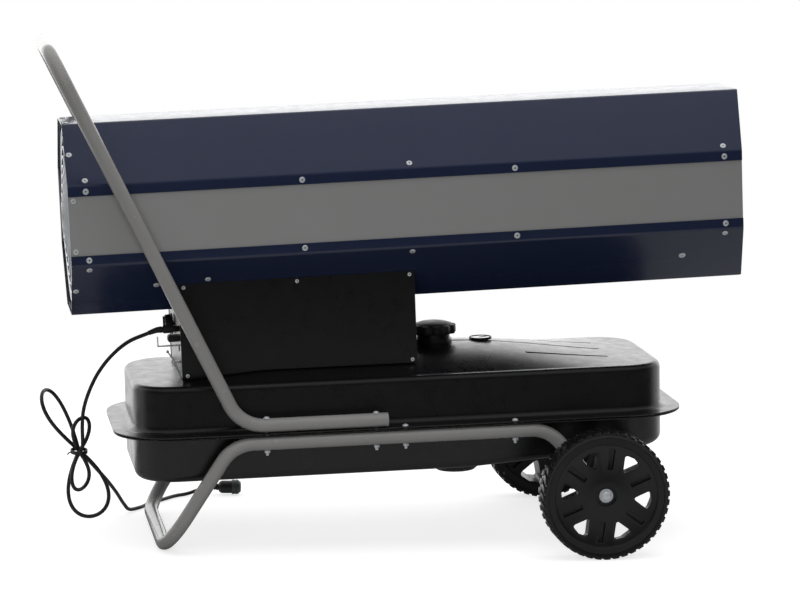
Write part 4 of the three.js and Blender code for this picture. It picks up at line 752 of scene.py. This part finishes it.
def loose(name, bm):
    mesh = bpy.data.meshes.new(name)
    bm.to_mesh(mesh)
    bm.free()
    made = bpy.data.objects.new(name, mesh)
    scene.collection.objects.link(made)
    return made


OPENINGS, OPENING_R = 6, 59
PHASE = math.radians(51.5)
OPENING_HALF = math.radians(12.5)
WEB_HALF = 17
DRAFT, DRAFT_END = 0.4, 30
SLOT, SLOT_MIDDLE = (34, 16, 9), 19
half_profile = [(7.3, 14), (15.4, 14), (16, 14.4), (16, 17.6), (17, 18.3), (26, 18.3), (30, 17.4), (79, 17),
                (82, 18.4), (83, 20.2), (84, 20.8), (93.4, 20.8), (93.7, 20.5)]
wheel_profile = [(r, -h) for r, h in half_profile] + [(r, h) for r, h in reversed(half_profile)]
blank = loose("wheel_blank", turned(wheel_profile, "y", 96, closed=True))
print("wheel blank:", len(blank.data.polygons), "faces")

# %% [markdown]
# The openings widen towards the back, as a moulding must so that it leaves its tool. Each is a rounded
# outline pushed through the web, and its two ends are scaled about its own middle.

# %% Openings and slots
tools = []
for i in range(OPENINGS):
    a = PHASE + i * math.tau / OPENINGS
    opening = bmesh.new()
    corners = [(43.5, 0.0), (71.5, OPENING_HALF), (73.5, 0.0), (71.5, -OPENING_HALF)]
    verts = [opening.verts.new((r * math.cos(a + off), 0, r * math.sin(a + off))) for r, off in corners]
    opening.faces.new(verts)
    eased(opening, [verts[0], verts[1], verts[3]], 5.5, 5, "VERTICES")
    made = bmesh.ops.extrude_face_region(opening, geom=opening.faces[:])["geom"]
    inner = {v for v in made if isinstance(v, bmesh.types.BMVert)}
    middle = Vector((OPENING_R * math.cos(a), 0, OPENING_R * math.sin(a)))
    for vert in opening.verts:
        depth = DRAFT_END if vert in inner else -DRAFT_END
        size = 1 + DRAFT * (depth + WEB_HALF) / (2 * WEB_HALF)
        vert.co = middle + (vert.co - middle) * size + Vector((0, depth, 0))
    bmesh.ops.recalc_face_normals(opening, faces=opening.faces)
    tools.append(opening)
    for side in (-1, 1):
        turn = Matrix.Rotation(-(a + math.pi / OPENINGS), 4, "Y")
        slot_cut = block(turn @ Matrix.Translation((OPENING_R, side * SLOT_MIDDLE, 0)), SLOT)
        tools.append(eased(slot_cut, slot_cut.edges[:], 1.8, 2))
wheel_mesh = cut_away(blank, loose("wheel_cuts", joined(*tools)))
bpy.data.objects.remove(blank)
print("cuts in the wheel:", len(tools))

# %% Tread
LUGS, LUG, LUG_SKEW = 44, (11, 21.6, 4.8), 4.5
band = turned([(94, -21.4), (98.4, -22.3), (99.8, -21.4), (100.4, -19), (100.4, 19), (99.8, 21.4),
               (98.4, 22.3), (94, 21.4)], "y", 132, closed=True)
lug_set = [band]
for row in (-1, 1):
    for i in range(LUGS):
        lug = block(Matrix.Translation((0, row * 11.5, 100)), LUG)
        for vert in lug.verts:
            if vert.co.z > 100:
                vert.co.x *= 0.84
                vert.co.y = row * min(abs(vert.co.y), 21)
            if abs(vert.co.y) < 3:
                vert.co.x += LUG_SKEW
        eased(lug, lug.edges[:], 0.7, 2)
        turn = (i + (0.5 if row > 0 else 0)) * math.tau / LUGS
        bmesh.ops.rotate(lug, cent=(0, 0, 0), matrix=Matrix.Rotation(turn, 3, "Y"), verts=lug.verts)
        lug_set.append(lug)
tread = joined(*lug_set)
tread_mesh = bpy.data.meshes.new("tread")
tread.to_mesh(tread_mesh)
tread.free()
print("tread:", len(lug_set) - 1, "lugs")

# %% Both wheels in place
WHEEL_Y = 243.9
for side, name in ((-1, "right"), (1, "left")):
    place = CHASSIS @ Matrix.Translation((0, side * WHEEL_Y, 0))
    if side > 0:
        place = place @ Matrix.Rotation(math.pi, 4, "Z")
    moulded = (("wheel", wheel_mesh, "wheel_plastic", 30, 0.6), ("tyre", tread_mesh, "tyre", 40, 0))
    for kind, mesh, slot, smooth, soften in moulded:
        bm = bmesh.new()
        bm.from_mesh(mesh)
        finished(f"{kind}_{name}_moulding", bm, place, f"{name}_wheel", slot, [f"{kind}_{name}"], smooth,
                 soften)
print("wheels:", len(wheel_mesh.polygons), "faces in a centre,", len(tread_mesh.polygons), "in a tread")

# %% [markdown]
# ## Bolts and wheel nuts
# Small coach bolts clamp the handle and the tank's rim to the trolley: a low domed head on top, a nut
# and a few turns of bare thread below. Each wheel is kept on by a flanged cap nut. The round parts are
# spun, and a hexagon is a circle of six with its edges bevelled.


# %% Bolts
HEAD_R, HEAD_H, SHANK_R = 5, 3.2, 2.6
THREAD, NUT_H = 8, 4.2


def hexagon(radius, start, end):
    bm = bmesh.new()
    bmesh.ops.create_cone(bm, cap_ends=True, segments=6, radius1=radius, radius2=radius, depth=end - start,
                          matrix=Matrix.Translation((0, 0, (start + end) / 2)))
    return eased(bm, bm.edges[:], 0.5, 2)


def bolt(top, bottom):
    shank = turned([(0, top + HEAD_H), (2, top + 3.1), (3.8, top + 2.2), (HEAD_R, top + 0.6), (HEAD_R, top),
                    (SHANK_R, top), (SHANK_R, bottom - THREAD), (2.1, bottom - THREAD - 0.6),
                    (0, bottom - THREAD - 0.6)], "z", 24)
    return joined(shank, hexagon(HEAD_R, bottom - NUT_H, bottom))


BOLT_FOOT = RAIL_Z - TUBE_R
bolted = (("handle", (-527.2, -352.7), HANDLE_Z + TUBE_R), ("rim", (-305.8, -128.9), RIM_Z + SHEET + SEAM))
for side, name in ((-1, "right"), (1, "left")):
    for kind, spots, top in bolted:
        for i, x in enumerate(spots, 1):
            spot = CHASSIS @ Matrix.Translation((x, side * RAIL_Y, 0))
            finished(f"{kind}_coach_bolt_{name}_{i}", bolt(top, BOLT_FOOT), spot, "chassis", "plated_steel",
                     [f"{kind}_bolt_{name}_{i}"])
print("bolts made")

# %% Cap nuts
NUT_SEAT = 14.3
for side, name in ((-1, "right"), (1, "left")):
    flange = turned([(7.2, 0), (11.3, 0), (11.3, 0.9), (10.8, 1.5), (7.2, 1.5)], "z", 40, closed=True)
    dome = turned([(7.4, 6), (7.4, 7.4), (6.2, 8.5), (3.6, 9.2), (0, 9.4)], "z", 32)
    cap_nut = joined(flange, hexagon(9.6, 1.5, 6.4), dome)
    spot = CHASSIS @ Matrix.Translation((0, side * WHEEL_Y, 0)) @ Matrix.Rotation(-side * math.pi / 2, 4, "X")
    finished(f"cap_nut_{name}", cap_nut, spot @ Matrix.Translation((0, 0, NUT_SEAT)), "chassis",
             "plated_steel", [f"wheel_nut_{name}"])
print("cap nuts sit", NUT_SEAT, "mm out")

# %% [markdown]
# ## Intake guard
# The guard is welded wire: rings with spokes behind them, held by four tabs inside the barrel. A small
# circle spun round the barrel's axis makes each ring.

# %% Guard
GUARD_X, BULGE, OUTER = 6, 10, 140
RING_RADII = (20, 35, 50, 65, 80, 95, 110, 125, OUTER)
SPOKES, TABS, TAB_R = 6, 4, 142.9


def guard_x(r):
    return GUARD_X - BULGE * (1 - r / OUTER)


wires = []
for r in RING_RADII:
    thick = 1.9 if r == OUTER else 1.25
    loop = [(r + thick * math.cos(a), guard_x(r) + thick * math.sin(a)) for a in ring_of(8)]
    wires.append(turned(loop, "x", 72, closed=True))
for i in range(SPOKES):
    a = (i + 0.5) * math.tau / SPOKES
    spoke = [Vector((guard_x(r) + 2.4, r * math.cos(a), r * math.sin(a))) for r in (12, 76, 141)]
    wires.append(stacked(rings_along(spoke, 1.5, 10), True, True))
for i in range(TABS):
    turn = Matrix.Rotation((i + 0.5) * math.tau / TABS, 4, "X")
    wires.append(block(turn @ Matrix.Translation((GUARD_X, TAB_R, 0)), (2, 9, 16)))
finished("intake_guard", joined(*wires), HEATER, "chassis", "wire_paint", ["fan_guard"], 40)
print("guard wires:", len(wires))

# %% [markdown]
# ## Fan
# The blades are pressed sheet on a cast hub. The CAD blade is flat, so each is copied with a bevelled
# edge; the hub keeps its bore. The shroud round it is sheet too, coated near black as painted shade for
# the dark inside of the barrel.

# %% Fan and shroud
worked("fan_blade", 0.4, 42)
# Painted shade: the shroud takes a near-black coat instead of its slot's finish, for the dark inside of the
# barrel.
worked("fan_shroud", 0.25, 42, material=shroud_painted_shade)

# %% [markdown]
# ## Thermostat knob
# A moulded knob with a fluted grip and a raised pointer, low on the box's rear wall.


# %% Knob
FLUTES = 12


def fluted(r, x, depth=0.0, count=96):
    radii = [r - depth * abs(math.sin(FLUTES * a)) for a in ring_of(count)]
    return [Vector((x, reach * math.cos(a), reach * math.sin(a))) for reach, a in zip(radii, ring_of(count))]


knob = stacked([fluted(3, 10), fluted(3, -1.6), fluted(16.4, -1.5), fluted(17, -2.1), fluted(17, -4),
                fluted(15.6, -4.6, 0.9), fluted(15, -12.6, 0.9), fluted(14, -13.8, 0.5), fluted(12, -14)],
               True, True)
pointer = block(Matrix.Translation((-15, 0, 0)), (4, 4.6, 25))
eased(pointer, pointer.edges[:], 1, 3)
KNOB_PLACE = HEATER @ Matrix.Translation((168.2, 30, -190))
finished("knob_moulding", joined(knob, pointer), KNOB_PLACE, "knob", "black_plastic", ["thermostat_knob"], 40)
print("knob made:", 2 * FLUTES, "flutes")

# %% [markdown]
# ## Screws
# Pan-head screws with a cross recess hold the shells, the band and the covers. One head is modelled, a
# low dome whose middle ring is drawn into a four-pointed star, and it is set on each face's normal.

# %% Screws
BARREL_HALF = 152.5
CREASE = BARREL_HALF * math.tan(math.pi / 8)


HEAD_ANGLES = around[::3]
DOME = ((1.0, -0.3), (1.0, 0.2), (0.95, 0.4), (0.84, 0.52), (0.62, 0.58))
STAR = [0.56 if i % 4 == 0 else 0.22 for i in range(len(HEAD_ANGLES))]
RECESS = (0.58, -0.2)


def screw_head(radius):
    levels = [([r] * len(HEAD_ANGLES), h) for r, h in DOME] + [(STAR, h) for h in RECESS]
    return stacked([[Vector((r * radius * math.cos(a), r * radius * math.sin(a), h * radius * 0.5))
                     for r, a in zip(reach, HEAD_ANGLES)] for reach, h in levels], True, True)


def facing(point, normal):
    turn = Vector((0, 0, 1)).rotation_difference(normal).to_matrix().to_4x4()
    return Matrix.Translation(point) @ turn


print("screw head:", len(HEAD_ANGLES), "points round")

# %% Where the screws go
SLANT = math.sqrt(0.5)
BROAD, SMALL = 4.8, 3.2
places = []
for side in (-1, 1):
    for u in (28, 539, 1048):
        for up in (-1, 1):
            w = up * (BARREL_HALF + CREASE - 145.5)
            places.append((u, side * 145.5, w, (0, side * SLANT, up * SLANT), BROAD))
    for u in (28, 367, 707, 1048):
        for w in (54, -54):
            places.append((u, side * BARREL_HALF, w, (0, side, 0), BROAD))
    for u, y, r in ((133.5, 111, BROAD), (215, 116, BROAD), (985.5, 108, 5.8)):
        places.append((u, side * y, y - BARREL_HALF - CREASE, (0, side * SLANT, -SLANT), r))
    for up in (-1, 1):
        w = up * (BARREL_HALF + CREASE - 108)
        places.append((7, side * 108, w, (0, side * SLANT, up * SLANT), BROAD))
        places.append((8, side * (BARREL_HALF - 1.8), up * 40, (0, side, 0), 4.4))
        places.append((7, side * 44, up * BARREL_HALF, (0, 0, up), BROAD))
    for u, w in ((176, -112), (538, -112), (176, -254), (538, -250), (357, -112)):
        places.append((u, side * 110, w, (0, side, 0), SMALL))
heads = []
for u, y, w, normal, radius in places:
    head = screw_head(radius)
    bmesh.ops.transform(head, matrix=facing(Vector((u, y, w)), Vector(normal)), verts=head.verts)
    heads.append(head)
finished("shell_screws", joined(*heads), HEATER, "chassis", "plated_steel", smooth=40)
print("screws:", len(places))

# %% [markdown]
# ## Floor and light
# A pale floor keeps the shadow. The room is bright overhead and behind the machine and dim behind the
# camera, as a white studio is, so that faces turned up or away take a pale sheen and the near side keeps
# its own colour. The camera sees the room as plain white. The floor adds a little light of its own, so
# that the camera sees only the shadow on it, and its far half shines in reflections as a lit sweep does.

# %% Floor
floor_mesh = bmesh.new()
bmesh.ops.create_circle(floor_mesh, cap_ends=True, segments=96, radius=1.7,
                        matrix=Matrix.Translation((0, 0.2, -0.0004)))
floor_data = bpy.data.meshes.new("floor")
floor_mesh.to_mesh(floor_data)
floor_mesh.free()
floor = bpy.data.objects.new("floor", floor_data)
scene.collection.objects.link(floor)
print("floor:", len(floor_data.vertices), "points round")

# %% Floor paper
PAPER_LIFT, SWEEP_GLOW = 0.7, 0.9
paper = bpy.data.materials.new("white_studio_floor")
paper.use_nodes = True
tree = paper.node_tree
tree.nodes.remove(tree.nodes["Principled BSDF"])
matt = add(tree, "BsdfDiffuse", {"Color": colour("bcbcbc")})
ray = add(tree, "LightPath")
spot = add(tree, "SeparateXYZ", {"Vector": add(tree, "TexCoord").outputs["Object"]})
far_side = add(tree, "MapRange", {"Value": spot.outputs["Y"], "From Min": 0.2, "From Max": 0.6,
                                  "To Max": SWEEP_GLOW})
mirrored = add(tree, "Math", {0: far_side.outputs[0], 1: ray.outputs["Is Glossy Ray"]}, operation="MULTIPLY")
strength = add(tree, "Math", {0: ray.outputs["Is Camera Ray"], 1: PAPER_LIFT, 2: mirrored.outputs[0]},
               operation="MULTIPLY_ADD")
lift = add(tree, "Emission", {"Color": colour("ffffff"), "Strength": strength.outputs[0]})
both = add(tree, "AddShader", {0: matt.outputs[0], 1: lift.outputs[0]})
tree.links.new(both.outputs[0], tree.nodes["Material Output"].inputs["Surface"])
floor_data.materials.append(paper)
print("paper lift:", PAPER_LIFT)

# %% Room
DIM = 0.05
room = bpy.data.worlds.new("white_studio")
scene.world = room
room.use_nodes = True
tree = room.node_tree
way = add(tree, "SeparateXYZ", {"Vector": add(tree, "TexCoord").outputs["Generated"]})
behind = add(tree, "MapRange", {"Value": way.outputs["Y"], "From Min": -0.1, "From Max": 0.3,
                                "To Min": DIM, "To Max": 1.0}, interpolation_type="SMOOTHSTEP")
above = add(tree, "MapRange", {"Value": way.outputs["Z"], "From Min": 0.3, "From Max": 0.8,
                               "To Min": DIM, "To Max": 0.5}, interpolation_type="SMOOTHSTEP")
bright = add(tree, "Math", {0: behind.outputs[0], 1: above.outputs[0]}, operation="MAXIMUM")
seen = add(tree, "Math", {0: bright.outputs[0], 1: add(tree, "LightPath").outputs["Is Camera Ray"]},
           operation="MAXIMUM")
tree.links.new(seen.outputs[0], tree.nodes["Background"].inputs["Strength"])
tree.nodes["Background"].inputs["Color"].default_value = colour("ffffff")
print("room:", room.name)


# %% Lamps
def soft_light(name, place, aim, size, watts, glossy):
    lamp = bpy.data.lights.new(name, "AREA")
    lamp.shape = "RECTANGLE"
    lamp.size, lamp.size_y = size
    lamp.energy = watts
    made = bpy.data.objects.new(name, lamp)
    made.location = place
    made.rotation_mode = "QUATERNION"
    made.rotation_quaternion = (Vector(aim) - Vector(place)).to_track_quat("-Z", "Y")
    made.visible_glossy = glossy
    made.visible_camera = False
    scene.collection.objects.link(made)


soft_light("front_fill", (-1.0, -3.4, 1.6), (0, 0, 0.4), (2.4, 2.0), 50, False)
soft_light("overhead", (0, -0.6, 3.2), (0, 0, 0.3), (2.6, 2.0), 34, False)
soft_light("back_wall", (0.3, 3.4, 1.0), (0, 0, 0.7), (8, 2.4), 64, True)
print("lamps:", len(bpy.data.lights))
